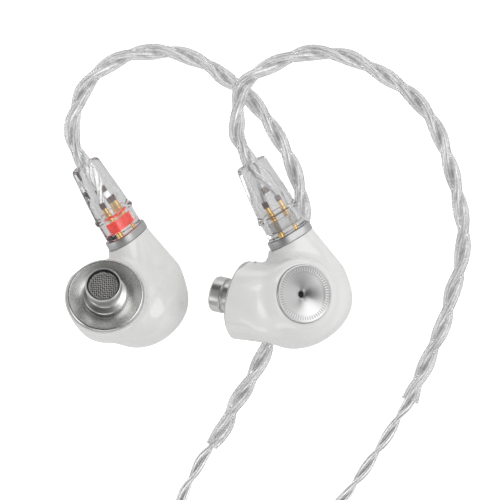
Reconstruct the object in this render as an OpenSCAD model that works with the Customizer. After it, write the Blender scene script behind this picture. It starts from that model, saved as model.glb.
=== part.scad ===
// A pair of in-ear monitors with detachable two-pin cable, laid flat.
// Left and right earphones are mirror images. Millimetres, +Z up.

/* [Earphone shell] */
// outer diameter of the round pod that carries the nozzle plate
pod_d = 13.5; // [13.4:0.05:13.6]
// wall thickness of the moulded shell
shell_wall = 1.15; // [1:0.05:1.3]
// diameter of the driver bore in the pod
bore_d = 10.4; // [10.3:0.05:10.5]

/* [Nozzle and plates] */
// diameter of the round metal plate round the nozzle
plate_d = 12.9; // [12.7:0.05:12.95]
// how far the nozzle lip stands out from the pod rim
nozzle_out = 5.0; // [4.7:0.1:5.4]
// diameter of the lip that holds the ear tip
lip_d = 6.0; // [5.9:0.05:6.1]
// diameter of the neck behind the lip
neck_d = 5.2; // [5.1:0.05:5.3]
// diameter of the outer metal dish plate
dish_d = 9.8; // [9.6:0.1:9.9]
// how deep the cone of the dish plate goes
dish_depth = 1.3; // [1.1:0.1:1.4]
// diameter of the vent hole in the middle of the dish
vent_d = 0.9; // [0.8:0.1:1]

/* [Two-pin plug] */
// distance between the two pins
pin_pitch = 2.4; // [2.3:0.05:2.5]
// pin diameter
pin_d = 0.78; // [0.76:0.01:0.78]
// how far the pins stand out of the plug
pin_out = 4.0; // [3.8:0.1:4.1]
// height of the clear plug from the metal collar to its top
plug_len = 13.2; // [13:0.1:13.4]
// height of the metal collar on the barrel mouth
collar_h = 1.35; // [1.3:0.05:1.4]

/* [Cable] */
// outer diameter of each twisted branch
branch_d = 1.8; // [1.7:0.05:1.8]
// outer diameter of the clear ear-hook sleeve
sleeve_d = 2.6; // [2.5:0.05:2.7]
// outer diameter of the main cable below the splitter
main_d = 2.3; // [2.2:0.05:2.3]
// jack contact diameter
jack_d = 3.5; // [3.5:0.1:3.5]
// jack contact length
jack_len = 14; // [14:0.5:14.5]

/* [Hidden] */
$fn = 96;

// ---- middle of both earphones in plan, taken off every placing
mid = [-6.6, -5.9];
// ---- where each barrel mouth stands, and which way its axes run
org_l = [6.97, 1.82, 6.94];
org_r = [-20.27, 1.92, 7.52];
// the dish's outward normal and the barrel's way to the plug, then all three axes in turn
function unit(v) = v / max(norm(v), 1e-9);
function axes(out, up, hand) =
    let (v = unit(up), w = unit(out - (out * v) * v)) [w, hand * cross(v, w), v];
ax_l = axes([0.3853, 0.0601, 0.9208], [-0.4731, 0.8696, 0.1413], 1);
ax_r = axes([-0.6829, -0.2313, -0.6930], [-0.4964, 0.8428, 0.2079], -1);

// ---- shell form: rounded bodies blended into each other
body_c = [0.7, -3.9, -11.7];
body_r = [6.4, 8.2, 5.5];
face_c = [3.9, -5.2, -8.4];
face_r = [2.7, 5.8, 5.8];
pod_c = [-1.2, -12.4, -4.45];
pod_back = 3.8;
pod_back_r = 6.4;
rear_end = [0.1, 1.0, -8];
front_end = [-0.4, -5.0, -7];
mouth_r = 2.75;
mid_c = [0.5, -5, -7.5];
nose = [-0.6907, -0.4805, 0.5405];
nose_turn = -145.2;
nose_tip = 57.28;
dish_c = [6.9, -5.6, -7.8];

function clamp01(t) = max(0, min(1, t));
function smin(a, b, k) =
    let (h = clamp01(0.5 + 0.5 * (b - a) / k)) b * (1 - h) + a * h - k * h * (1 - h);
function smax(a, b, k) = -smin(-a, -b, k);
function ball(p, c, r) =
    let (q = p - c, k0 = norm([q[0] / r[0], q[1] / r[1], q[2] / r[2]]),
         k1 = norm([q[0] / (r[0] * r[0]), q[1] / (r[1] * r[1]), q[2] / (r[2] * r[2])]) + 1e-9)
    k0 * (k0 - 1) / k1;
function horn(p, a, b, ra, rb) =
    let (ab = b - a, t = clamp01(((p - a) * ab) / (ab * ab))) norm(p - a - t * ab) - ra - (rb - ra) * t;
function puck(p, c, r, h, e) =
    let (u = norm([p[1] - c[1], p[2] - c[2]]) - r + e, w = abs(p[0] - c[0] + h) - h + e)
    norm([max(u, 0), max(w, 0)]) + min(max(u, w), 0) - e;
function form(p) =
    let (q = [p[0], p[1], min(p[2], 0)],
         body = smin(ball(p, body_c, body_r), ball(p, face_c, face_r), 2),
         pod = horn(p, pod_c, pod_c - nose * pod_back, pod_d / 2, pod_back_r),
         rear = horn(q, [0, 1.2, 0], rear_end, mouth_r, 4.4),
         front = horn(q, [0, -1.2, 0], front_end, mouth_r, 3.9),
         all = smin(smin(body, pod, 2), smin(rear, front, 2.6), 2.4),
         flat = smax(all, p[0] - 6.3, 2.2))
    smin(flat, puck(p, dish_c, 6.2, 2.4, 1.6), 1.6);
function closed_form(p, level) = max(form(p) + level, p[2] - 0.8 + level);
function reach(d, level, lo, hi, n) =
    n == 0 ? lo : let (m = (lo + hi) / 2)
    closed_form(mid_c + m * d, level) < 0 ? reach(d, level, m, hi, n - 1) : reach(d, level, lo, m, n - 1);

// closed skin round mid_c: rows of points from the lower pole to the upper one
module skin(level, around, rows) {
    low = mid_c + [0, 0, -reach([0, 0, -1], level, 0, 24, 16)];
    top = mid_c + [0, 0, reach([0, 0, 1], level, 0, 24, 16)];
    grid = [for (i = [1:rows - 1]) for (j = [0:around - 1])
        let (h = 180 * i / rows, t = 360 * j / around, d = [sin(h) * cos(t), sin(h) * sin(t), -cos(h)])
        mid_c + reach(d, level, 0, 24, 16) * d];
    n = len(grid);
    sides = [for (i = [0:rows - 3]) for (j = [0:around - 1])
        let (a = i * around + j, b = i * around + (j + 1) % around) each
        [[a, b + around, b], [a, a + around, b + around]]];
    lows = [for (j = [0:around - 1]) [n, j, (j + 1) % around]];
    tops = [for (j = [0:around - 1]) [n + 1, n - around + (j + 1) % around, n - around + j]];
    polyhedron(points = concat(grid, [low, top]), faces = concat(sides, lows, tops), convexity = 6);
}

// ---- placing helpers
module stand(a, o, s) {
    multmatrix([[s * a[0][0], a[1][0], a[2][0], o[0] - mid[0]],
                [s * a[0][1], a[1][1], a[2][1], o[1] - mid[1]],
                [s * a[0][2], a[1][2], a[2][2], o[2]], [0, 0, 0, 1]]) children();
}
module at_left() { stand(ax_l, org_l, 1) children(); }
// the right earphone is the left one mirrored
module at_right() { stand(ax_r, org_r, -1) mirror([1, 0, 0]) children(); }
// z runs out along the nozzle, 0 is the pod rim
module on_nose() { translate(pod_c) rotate([0, nose_tip, nose_turn]) children(); }
// z runs out of the dish face, 0 is the shell's flat land
module on_dish() { translate(dish_c) rotate([0, 90, 0]) children(); }
module disc(r, z0, z1) { translate([0, 0, z0]) cylinder(r = r, h = z1 - z0); }
module ring(r0, r1, z0, z1) {
    difference() {
        disc(r1, z0, z1);
        disc(r0, z0 - 1, z1 + 1);
    }
}
// oval column along z, long in y
module oval(long, thick, z0, z1) {
    translate([0, 0, z0]) linear_extrude(z1 - z0) union() {
        square([thick, long - thick], center = true);
        translate([0, (long - thick) / 2]) circle(d = thick);
        translate([0, -(long - thick) / 2]) circle(d = thick);
    }
}
module at_pins() {
    for (s = [-1, 1]) translate([0, s * pin_pitch / 2, 0]) children();
}

// ---- earphone pieces
driver_z = -1.9;
module shell() {
    // one faceted solid: the skin is a free form, so its seats are cut in facets as well
    color([0.93, 0.93, 0.91]) minkowski() difference() {
        skin(0, 56, 30);
        skin(shell_wall, 32, 16);
        on_nose() disc(12, 0, 9);
        on_nose() disc(plate_d / 2 + 0.02, -1.3, 1);
        on_nose() disc(bore_d / 2, -3.2, 1);
        on_nose() disc(4.35, -5.0, 1);
        on_nose() disc(3.55, -6.1, 1);
        on_dish() disc(dish_d / 2 + 0.02, -0.7, 3);
        on_dish() disc(3.2, -4.5, 3);
        translate([-6, -7, 0]) cube([12, 14, 4]);
        oval(6.0, 3.9, -3.3, 1);
        translate([0, 0, -6.5]) cylinder(r = 1.7, h = 6);
    }
}
module nozzle_plate() {
    r = plate_d / 2;
    color([0.72, 0.72, 0.72]) on_nose() rotate_extrude() polygon([
        [3.3, -1.3], [r, -1.3], [r, 0.05], [r - 0.25, 0.42], [r - 0.75, 0.5], [r - 1.3, 0.32],
        [4.6, -0.25], [4.25, -0.2], [4.0, 0.25], [3.7, 0.3], [3.3, 0.3]]);
}
module nozzle() {
    n = neck_d / 2;
    p = lip_d / 2;
    h = nozzle_out;
    color([0.76, 0.76, 0.76]) on_nose() rotate_extrude() polygon([
        [2.2, -1.85], [3.8, -1.85], [3.8, -1.3], [3.28, -1.3], [3.28, 0.3], [3.85, 0.3],
        [3.9, 0.4], [3.9, 0.95], [3.75, 1.15], [3.15, 1.3], [n, 1.5], [n, 2.9],
        [p - 0.05, 3.0], [p, 3.1], [p, h - 0.3], [p - 0.12, h], [2.72, h],
        [2.72, h - 0.75], [2.2, h - 0.75]]);
}
module nozzle_mesh() {
    color([0.62, 0.62, 0.6]) on_nose() disc(2.7, nozzle_out - 0.75, nozzle_out - 0.6);
}
module mesh_ring() {
    color([0.05, 0.05, 0.05]) on_nose() ring(2.45, 2.7, nozzle_out - 0.6, nozzle_out - 0.3);
}
module driver_frame() {
    color([0.16, 0.16, 0.17]) on_nose() translate([0, 0, driver_z]) rotate_extrude() polygon([
        [3.5, -3.0], [4.3, -3.0], [4.3, -1.2], [5.15, -1.2], [5.15, -0.3], [4.75, -0.3],
        [4.75, -0.9], [4.0, -1.1], [4.0, -2.6], [3.5, -2.6]]);
}
module yoke() {
    color([0.55, 0.56, 0.58]) on_nose() translate([0, 0, driver_z]) rotate_extrude() polygon([
        [0, -3.6], [3.48, -3.6], [3.48, -1.5], [2.55, -1.5], [2.55, -3.0], [0, -3.0]]);
}
module magnet() {
    color([0.35, 0.35, 0.37]) on_nose() translate([0, 0, driver_z]) disc(1.9, -3.0, -2.0);
}
module pole_plate() {
    color([0.6, 0.6, 0.62]) on_nose() translate([0, 0, driver_z]) disc(2.0, -2.0, -1.4);
}
module diaphragm() {
    color([0.82, 0.74, 0.5]) on_nose() translate([0, 0, driver_z]) rotate_extrude() polygon([
        [0, -0.18], [0.8, -0.23], [1.6, -0.4], [2.2, -0.66], [2.6, -0.7], [3.2, -0.46],
        [3.9, -0.5], [4.4, -0.62], [4.4, -0.76], [3.9, -0.64], [3.2, -0.6], [2.6, -0.84],
        [2.2, -0.8], [1.6, -0.55], [0.8, -0.38], [0, -0.33]]);
}
module voice_coil() {
    color([0.72, 0.4, 0.2]) on_nose() translate([0, 0, driver_z]) ring(2.14, 2.4, -2.3, -0.88);
}
module terminal_board() {
    color([0.1, 0.32, 0.16]) on_nose() translate([0, 0, driver_z]) difference() {
        disc(1.7, -4.0, -3.6);
        translate([-1.5, -3.3, -4.2]) cube([3, 2.4, 1]);
    }
}
// two insulated leads from the contact tails down to the board
lead_end = pod_c + nose * (driver_z - 4.0);
module bent(pts, r) {
    for (i = [0:len(pts) - 2]) {
        d = pts[i + 1] - pts[i];
        translate(pts[i]) rotate([0, acos(d[2] / norm(d)), atan2(d[1], d[0])]) cylinder(r = r, h = norm(d));
        if (i > 0) translate(pts[i]) sphere(r = r * 1.12);
    }
}
module lead(y, end) {
    bent([[0, y, -4.7], [0.1, y * 0.9 - 0.2, -6.2], lead_end + [0.3, 2.3, -0.2], end], 0.2);
}
module driver_leads() {
    color([0.75, 0.12, 0.1]) union() {
        lead(0.75, lead_end + [0.1, 0.35, 0.45]);
        lead(-0.75, lead_end + [0.35, 0.1, -0.5]);
    }
}
module dish_plate() {
    r = dish_d / 2;
    v = vent_d / 2;
    color([0.8, 0.8, 0.8]) on_dish() rotate_extrude() polygon([
        [v, -1.3], [3.15, -1.3], [3.15, -0.7], [r, -0.7], [r, 0.38], [r - 0.12, 0.5],
        [r - 0.62, 0.5], [r - 0.68, 0.44], [r - 0.72, 0.44], [3.4, 0.1], [1.9, -0.35],
        [0.9, 0.5 - dish_depth + 0.1], [v, 0.5 - dish_depth]]);
}
module vent_screen() {
    color([0.08, 0.08, 0.08]) on_dish() disc(1.1, -1.45, -1.3);
}
module collar() {
    color([0.7, 0.7, 0.7]) difference() {
        oval(8.1, 5.9, 0, collar_h);
        oval(6.0, 3.9, -1, collar_h + 1);
    }
}
module socket() {
    color([0.1, 0.1, 0.11]) difference() {
        oval(5.98, 3.88, -3.3, collar_h);
        at_pins() translate([0, 0, -0.05 - 3.4]) cylinder(r = 0.72, h = 3.4, $fn = 48);
        at_pins() disc(0.44, -4, collar_h + 1);
    }
}
module socket_contacts() {
    color([0.85, 0.66, 0.3]) at_pins() union() {
        ring(pin_d / 2 + 0.03, 0.7, -3.45, -0.05);
        disc(0.7, -4.1, -3.45);
        disc(0.25, -4.9, -4.1);
    }
}

// ---- plug pieces
plug_z = collar_h + plug_len;
module plug_body() {
    color([0.85, 0.87, 0.88, 0.45]) difference() {
        union() {
            oval(7.1, 5.2, collar_h, 4.6);
            oval(7.7, 5.7, 4.5, 5.3);
            hull() {
                oval(7.1, 5.2, 5.2, 5.4);
                oval(5.5, 4.4, plug_z - 0.6, plug_z - 0.4);
            }
            oval(5.1, 4.0, plug_z - 0.5, plug_z);
        }
        oval(5.0, 3.0, 2.3, 8.6);
        oval(3.6, 2.0, 8.5, plug_z - 1.2);
        disc(1.0, plug_z - 1.3, plug_z + 1);
        at_pins() disc(pin_d / 2 + 0.01, 0, 3);
    }
}
module pin_block() {
    difference() {
        oval(4.98, 2.98, 2.3, 4.1);
        at_pins() disc(pin_d / 2 + 0.01, 2, 5);
    }
}
module pins() {
    color([0.88, 0.7, 0.34]) at_pins() union() {
        disc(pin_d / 2, collar_h - pin_out + 0.35, 4.2);
        translate([0, 0, collar_h - pin_out]) cylinder(r1 = 0.15, r2 = pin_d / 2, h = 0.35);
        disc(0.55, 4.12, 4.6);
        disc(0.42, 4.5, 5.1);
        disc(0.55, 5.0, 5.6);
        disc(0.42, 5.5, 6.9);
    }
}
module lead_wires() {
    b = pin_pitch / 2;
    color([0.78, 0.78, 0.78]) union() {
        for (s = [-1, 1]) {
            translate([0, s * b, 6.9]) cylinder(r = 0.5, h = 0.8);
            bent([[0, s * b, 7.4], [0, s * (b - 0.1), 7.9], [0, s * 0.47, 9.4], [0, s * 0.47, plug_z]], 0.4);
        }
        translate([-0.45, -0.6, 9.0]) cube([0.9, 1.2, 0.9]);
    }
}

// ---- cords: a tube swept along hand-set points
function away(p) = [p[0] - mid[0], p[1] - mid[1], p[2]];
function heading(p, i) = unit(p[min(i + 1, len(p) - 1)] - p[max(i - 1, 0)]);
function carried(p, i) =
    i == 0 ? unit(cross(heading(p, 0), [0.1, 0.2, 1])) :
    let (u = carried(p, i - 1), t = heading(p, i)) unit(u - (u * t) * t);
function round_at(p, i, r, sides) =
    let (u = carried(p, i), t = heading(p, i), v = cross(t, u))
    [for (k = [0:sides - 1]) p[i] + r * (cos(360 * k / sides) * u + sin(360 * k / sides) * v)];
module tube(p, r, sides = 8) {
    n = len(p);
    pts = [for (i = [0:n - 1]) each round_at(p, i, r, sides)];
    walls = [for (i = [0:n - 2]) for (k = [0:sides - 1])
        let (a = i * sides + k, b = i * sides + (k + 1) % sides) each
        [[a, b, b + sides], [a, b + sides, a + sides]]];
    start = [for (k = [sides - 1:-1:0]) k];
    end = [for (k = [0:sides - 1]) (n - 1) * sides + k];
    polyhedron(points = pts, faces = concat(walls, [start, end]), convexity = 12);
}
module hollow(p, r0, r1, sides = 8) {
    n = len(p);
    m = n * sides;
    pts = [for (r = [r1, r0]) for (i = [0:n - 1]) each round_at(p, i, r, sides)];
    walls = [for (i = [0:n - 2]) for (k = [0:sides - 1])
        let (a = i * sides + k, b = i * sides + (k + 1) % sides) each
        [[a, b, b + sides], [a, b + sides, a + sides],
         [m + a, m + b + sides, m + b], [m + a, m + a + sides, m + b + sides]]];
    ends = [for (k = [0:sides - 1]) let (b = (k + 1) % sides, e = (n - 1) * sides) each
        [[b, k, m + k], [b, m + k, m + b], [e + k, e + b, m + e + b], [e + k, m + e + b, m + e + k]]];
    polyhedron(points = pts, faces = concat(walls, ends), convexity = 12);
}
top_r = org_r + plug_z * ax_r[2];
top_l = org_l + plug_z * ax_l[2];
// the formed ear-hook part of each branch, inside the clear sleeve
hook_r = [for (p = [top_r, top_r + 1.2 * ax_r[2], [-29.1, 17.2, 11.0], [-29.6, 20.2, 10.4],
    [-28.7, 24.0, 9.2], [-27.6, 26.8, 8.2], [-24.8, 30.0, 6.8], [-20.6, 32.4, 5.0],
    [-15.7, 33.2, 3.3], [-11.5, 32.8, 2.2], [-6.6, 30.7, 1.6], [-4.8, 29.3, 1.5],
    [-1.3, 26.8, 1.4], [1.8, 23.3, 1.4], [4.6, 19.1, 1.4], [6.8, 14.9, 1.4], [8.2, 10.7, 1.4],
    [8.9, 6.5, 1.4], [8.7, 3.7, 1.4], [7.7, 1.0, 1.4], [6.0, -1.7, 1.4], [4.4, -4.5, 1.4],
    [3.4, -7.3, 1.4], [3.1, -10.2, 1.4], [3.2, -13.0, 1.4], [2.9, -16.0, 1.4],
    [1.1, -19.9, 1.4], [-0.7, -23.2, 1.4], [-2.7, -26.1, 1.4], [-3.9, -29.1, 1.4],
    [-5.7, -31.8, 1.4], [-6.5, -32.9, 1.35]]) away(p)];
hook_l = [for (p = [top_l, top_l + 1.2 * ax_l[2], [-1.2, 17.0, 9.2], [-2.2, 19.1, 8.9],
    [-2.1, 21.6, 7.9], [-1.9, 24.3, 6.8], [-1.3, 27.2, 5.6], [0.4, 29.0, 5.0],
    [3.2, 30.7, 4.1], [6.7, 32.2, 3.0], [10.6, 33.1, 2.1], [16.2, 32.4, 1.5],
    [19.0, 31.2, 1.4], [21.8, 29.7, 1.4], [26.8, 26.2, 1.4], [30.6, 21.6, 1.4],
    [33.1, 15.6, 1.4], [34.8, 9.3, 1.4], [35.8, 3.0, 1.4], [35.2, -3.0, 1.4],
    [33.8, -7.5, 1.4], [32.7, -11.7, 1.4], [30.6, -16.7, 1.4], [29.1, -20.2, 1.4],
    [27.6, -23.2, 1.4], [26.7, -25.5, 1.35]]) away(p)];
// the bare twisted part from the sleeve to the coil
run_r = [for (p = [[-8.1, -35.1, 1.05], [-9.3, -37.4, 1], [-10.8, -40.1, 1], [-12.6, -45, 1],
    [-14.6, -49.5, 1], [-16.4, -54, 1.3], [-16.98, -58.0, 1.7], [-17.05, -60.6, 1.7],
    [-17.05, -72, 1.7], [-17.05, -80.5, 1.6], [-17.05, -84.5, 1.2], [-17.05, -87.5, 1.0]]) away(p)];
run_l = [for (p = [[25.2, -27.6, 1.1], [23.8, -30, 1], [22.3, -32.4, 1], [20.8, -34.5, 1],
    [19.3, -36.8, 1], [17.5, -39.2, 1], [16, -41.3, 1], [11, -45.9, 1], [5, -48.9, 1],
    [-2, -50.4, 1], [-8.5, -51.9, 1], [-13, -54.5, 1.3], [-14.9, -58.0, 1.7],
    [-15.1, -60.6, 1.7], [-15.1, -72, 1.7], [-15.1, -77, 1.7], [-15.1, -81, 1.4],
    [-15.1, -84, 1.0]]) away(p)];
// coil middle, and the last lengths from the coil to the splitter
coil_c = [6 - mid[0], -92 - mid[1]];
split_in = [11.1, -80.45];
split_dir = [-0.9397, -0.342];
side_n = [-0.342, 0.9397];
in_r = [for (p = [[20.5, -83.9, 1.0], [19.1, -82.0, 1.0], [17.0, -80.6, 1.0], [14.9, -79.6, 1.08],
    [13.3, -79.15, 1.9], split_in - 1.2 * split_dir + 0.95 * side_n - [0.1, 0], split_in + 0.95 * side_n])
    away([p[0], p[1], len(p) > 2 ? p[2] : 2.5])];
in_l = [for (p = [[19.0, -84.7, 1.0], [17.4, -83.0, 1.0], [15.6, -81.8, 1.05], [13.9, -81.2, 1.9],
    split_in - 1.4 * split_dir - 0.95 * side_n, split_in - 0.95 * side_n])
    away([p[0], p[1], len(p) > 2 ? p[2] : 2.5])];
split_out = split_in + 15 * split_dir;
main_in = [for (p = [split_out, split_out + 1.4 * split_dir, [-5.9, -88.2], [-6.9, -90.8],
    [-7.2, -93.4], [-6.7, -96.6], [-5.1, -100.3], [-2.6, -103.9], [0.6, -107.0]])
    p]; 
main_in_z = [2.5, 2.55, 2.7, 2.85, 3.0, 3.15, 3.25, 3.3, 3.3];
main_start = [for (i = [0:8]) away([main_in[i][0], main_in[i][1], main_in_z[i]])];
boot_x = 0;
jack_y = -124;
jack_z = 3.6;
main_end = [for (p = [[-13.4, -91, 7.8], [-14.6, -95.6, 7.8], [-17, -100.6, 7.0], [-19, -106, 5.2],
    [-19.4, -111.4, 3.0], [-17.6, -116.6, 1.6], [-14.2, -120.6, 1.3], [-9.8, -123, 1.7],
    [-5.4, -123.9, 2.8], [-2.4, -124, 3.5], [boot_x, jack_y, jack_z]]) away(p)];

module ear_guide(p) { color([0.88, 0.89, 0.9, 0.5]) hollow(p, 1.0, sleeve_d / 2); }
module branch_r() {
    color([0.82, 0.83, 0.84]) union() {
        tube(concat(hook_r, run_r), branch_d / 2);
        tube(in_r, branch_d / 2);
    }
}
module branch_l() {
    color([0.82, 0.83, 0.84]) union() {
        tube(concat(hook_l, run_l), branch_d / 2);
        tube(in_l, branch_d / 2);
    }
}
module branch_coil() {
    color([0.8, 0.81, 0.82]) translate([coil_c[0], coil_c[1], 0]) rotate_extrude() polygon([
        [15, 0], [24, 0], [24, 1.9], [15, 1.9]]);
}
module main_coil() {
    color([0.78, 0.79, 0.8]) translate([coil_c[0], coil_c[1], 0]) rotate_extrude() polygon([
        [15.9, 2.0], [23.7, 2.0], [23.7, 6.6], [20.9, 6.7], [20.9, 8.9], [15.9, 8.9]]);
}
module main_cord() {
    color([0.8, 0.81, 0.82]) union() {
        tube(main_start, main_d / 2);
        tube(main_end, main_d / 2);
    }
}
module y_splitter() {
    c = away([split_in[0], split_in[1], 2.5]);
    color([0.7, 0.7, 0.71]) translate(c) rotate([0, 0, 200]) rotate([0, 90, 0]) difference() {
        union() {
            disc(2.3, 0, 15);
            disc(2.5, 0.6, 14.4);
        }
        disc(2.05, 0.8, 14.2);
        translate([0, 0.95, -1]) cylinder(d = branch_d + 0.04, h = 3);
        translate([0, -0.95, -1]) cylinder(d = branch_d + 0.04, h = 3);
        disc(main_d / 2 + 0.02, 13, 16);
    }
}
module splitter_joint() {
    c = away([split_in[0], split_in[1], 2.5]);
    color([0.75, 0.74, 0.7]) translate(c) rotate([0, 0, 200]) rotate([0, 90, 0]) union() {
        disc(1.2, 1.0, 14);
        translate([0, 0.95, 0]) cylinder(d = branch_d, h = 1.5);
        translate([0, -0.95, 0]) cylinder(d = branch_d, h = 1.5);
        disc(main_d / 2, 13.5, 15);
    }
}
slider_y = -64.2;
module chin_slider() {
    c = away([-16.075, slider_y, 1.7]);
    color([0.85, 0.86, 0.87, 0.6]) translate(c) rotate([90, 0, 0]) difference() {
        translate([0, 0, -3]) linear_extrude(6) union() {
            square([2.6, 3.3], center = true);
            translate([1.3, 0]) circle(d = 3.3);
            translate([-1.3, 0]) circle(d = 3.3);
        }
        translate([0.975, 0, -4]) cylinder(d = 1.92, h = 8);
        translate([-0.975, 0, -4]) cylinder(d = 1.92, h = 8);
    }
}
// ---- jack, lying along X
module on_jack() { translate(away([boot_x, jack_y, jack_z])) rotate([0, 90, 0]) children(); }
boot_l = 5;
grip_l = 16;
jack_0 = boot_l + grip_l;
module jack_boot() {
    color([0.86, 0.87, 0.88, 0.6]) on_jack() rotate_extrude() polygon([
        [0, 0], [1.7, 0], [2.1, 1.2], [2.5, boot_l], [2.5, boot_l + 2.5], [0, boot_l + 2.5]]);
}
module jack_grip() {
    e = jack_0;
    color([0.7, 0.7, 0.71]) on_jack() rotate_extrude() polygon([
        [2.52, boot_l], [3.2, boot_l], [3.5, boot_l + 0.4], [3.5, e - 1.4], [3.2, e - 1],
        [3.2, e], [2.0, e], [2.0, e - 3], [2.52, e - 3]]);
}
module jack_sleeve() {
    e = jack_0;
    color([0.85, 0.68, 0.35]) on_jack() rotate_extrude() polygon([
        [1.2, e - 3], [1.98, e - 3], [1.98, e], [jack_d / 2, e], [jack_d / 2, e + 7.1],
        [1.2, e + 7.1]]);
}
module jack_ring() {
    e = jack_0;
    color([0.85, 0.68, 0.35]) on_jack() rotate_extrude() polygon([
        [0.8, e - 4], [1.1, e - 4], [1.1, e + 7.6], [jack_d / 2, e + 7.6], [jack_d / 2, e + 9.9],
        [0.8, e + 9.9]]);
}
module jack_tip() {
    e = jack_0 + jack_len;
    color([0.88, 0.7, 0.37]) on_jack() rotate_extrude() polygon([
        [0, jack_0 - 5], [0.65, jack_0 - 5], [0.65, jack_0 + 10.4], [jack_d / 2, jack_0 + 10.4],
        [1.3, e - 2.5], [1.35, e - 2.3], [1.6, e - 1.5], [1.45, e - 0.9], [0.5, e], [0, e]]);
}
module jack_insulators() {
    e = jack_0;
    color([0.06, 0.06, 0.06]) on_jack() union() {
        ring(1.1, jack_d / 2, e + 7.1, e + 7.6);
        ring(1.1, 1.2, e - 3, e + 7.2);
        ring(0.65, jack_d / 2, e + 9.9, e + 10.4);
        ring(0.65, 0.8, e - 4, e + 10);
    }
}

at_left() shell();  // shell_l
at_left() nozzle_plate();  // nozzle_plate_l
at_left() nozzle();  // nozzle_l
at_left() nozzle_mesh();  // nozzle_mesh_l
at_left() mesh_ring();  // mesh_ring_l
at_left() driver_frame();  // driver_frame_l
at_left() yoke();  // yoke_l
at_left() magnet();  // magnet_l
at_left() pole_plate();  // pole_plate_l
at_left() diaphragm();  // diaphragm_l
at_left() voice_coil();  // voice_coil_l
at_left() terminal_board();  // terminal_board_l
at_left() driver_leads();  // driver_leads_l
at_left() dish_plate();  // dish_plate_l
at_left() vent_screen();  // vent_screen_l
at_left() collar();  // collar_l
at_left() socket();  // socket_l
at_left() socket_contacts();  // socket_contacts_l
at_right() shell();  // shell_r
at_right() nozzle_plate();  // nozzle_plate_r
at_right() nozzle();  // nozzle_r
at_right() nozzle_mesh();  // nozzle_mesh_r
at_right() mesh_ring();  // mesh_ring_r
at_right() driver_frame();  // driver_frame_r
at_right() yoke();  // yoke_r
at_right() magnet();  // magnet_r
at_right() pole_plate();  // pole_plate_r
at_right() diaphragm();  // diaphragm_r
at_right() voice_coil();  // voice_coil_r
at_right() terminal_board();  // terminal_board_r
at_right() driver_leads();  // driver_leads_r
at_right() dish_plate();  // dish_plate_r
at_right() vent_screen();  // vent_screen_r
at_right() collar();  // collar_r
at_right() socket();  // socket_r
at_right() socket_contacts();  // socket_contacts_r
at_left() plug_body();  // plug_body_l
at_left() color([0.9, 0.9, 0.9, 0.5]) pin_block();  // pin_block_l
at_left() pins();  // pins_l
at_left() lead_wires();  // lead_wires_l
ear_guide(hook_l);  // ear_guide_l
branch_l();
at_right() plug_body();  // plug_body_r
at_right() color([0.85, 0.1, 0.08]) pin_block();  // pin_block_r
at_right() pins();  // pins_r
at_right() lead_wires();  // lead_wires_r
ear_guide(hook_r);  // ear_guide_r
branch_r();
branch_coil();
y_splitter();
splitter_joint();
chin_slider();
main_cord();
main_coil();
jack_boot();
jack_grip();
jack_sleeve();
jack_ring();
jack_tip();
jack_insulators();
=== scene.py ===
"""A pair of in-ear monitors with a detachable twisted cable, laid out on a pale floor.

Every size is in millimetres in the classes below and becomes metres when a mesh is made. Each
earphone has its own frame: the origin is in the middle of the barrel's mouth, x runs out of the
dish, y to the rear and z along the barrel to the plug.
"""

import sys
import logging
import math
from dataclasses import dataclass, field
from enum import Enum
from typing import Callable, Dict, List, Optional, Sequence, Tuple, Union

import bmesh
import bpy
import numpy as np
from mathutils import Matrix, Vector


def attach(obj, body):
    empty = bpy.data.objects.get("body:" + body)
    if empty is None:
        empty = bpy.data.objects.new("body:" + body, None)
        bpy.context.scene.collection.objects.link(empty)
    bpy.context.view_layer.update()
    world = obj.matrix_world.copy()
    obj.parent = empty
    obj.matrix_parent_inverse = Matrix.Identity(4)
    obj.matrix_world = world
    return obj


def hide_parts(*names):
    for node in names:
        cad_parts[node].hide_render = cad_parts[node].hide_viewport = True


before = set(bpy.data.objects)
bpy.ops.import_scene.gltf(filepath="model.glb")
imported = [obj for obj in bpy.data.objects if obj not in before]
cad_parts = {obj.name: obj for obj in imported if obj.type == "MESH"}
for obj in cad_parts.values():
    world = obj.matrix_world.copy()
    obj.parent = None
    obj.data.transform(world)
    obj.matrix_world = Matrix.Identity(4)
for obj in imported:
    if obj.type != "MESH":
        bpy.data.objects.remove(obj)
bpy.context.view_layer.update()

log = logging.getLogger("monitors")
MM = 0.001
MID = np.array([-6.6, -5.9, 0.0])
Points = Sequence[Sequence[float]]
Rows = List[Tuple[float, float, float]]
Faces = List[List[int]]
Ways = List[Tuple[float, float]]
Setting = Union[float, int, str, bool, Tuple[float, ...]]


class Side(Enum):
    """Which ear a piece belongs to."""

    LEFT = "l"
    RIGHT = "r"


def unit(v: Sequence[float]) -> np.ndarray:
    """A vector of length one along v."""
    a = np.asarray(v, float)
    return a / np.linalg.norm(a)


def away(points: Points) -> np.ndarray:
    """Route points moved so that the middle of both earphones in plan is the frame's origin."""
    return np.asarray(points, float) - MID


# ------------------------------------------------------------------ places


@dataclass(frozen=True)
class Place:
    """A local frame in row millimetres.

    Attributes:
        origin: where the local origin stands.
        rows: the local x, y and z axes, one in each row.
    """

    origin: np.ndarray
    rows: np.ndarray

    def put(self, points: np.ndarray) -> np.ndarray:
        """Local points in row millimetres."""
        return self.origin + np.asarray(points, float) @ self.rows

    def inner(self, origin: Sequence[float], rows: np.ndarray) -> "Place":
        """A frame given inside this one."""
        return Place(self.put(np.asarray(origin, float)), np.asarray(rows, float) @ self.rows)

    @property
    def mirrored(self) -> bool:
        """True where the frame is left-handed."""
        return bool(np.linalg.det(self.rows) < 0)


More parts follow.
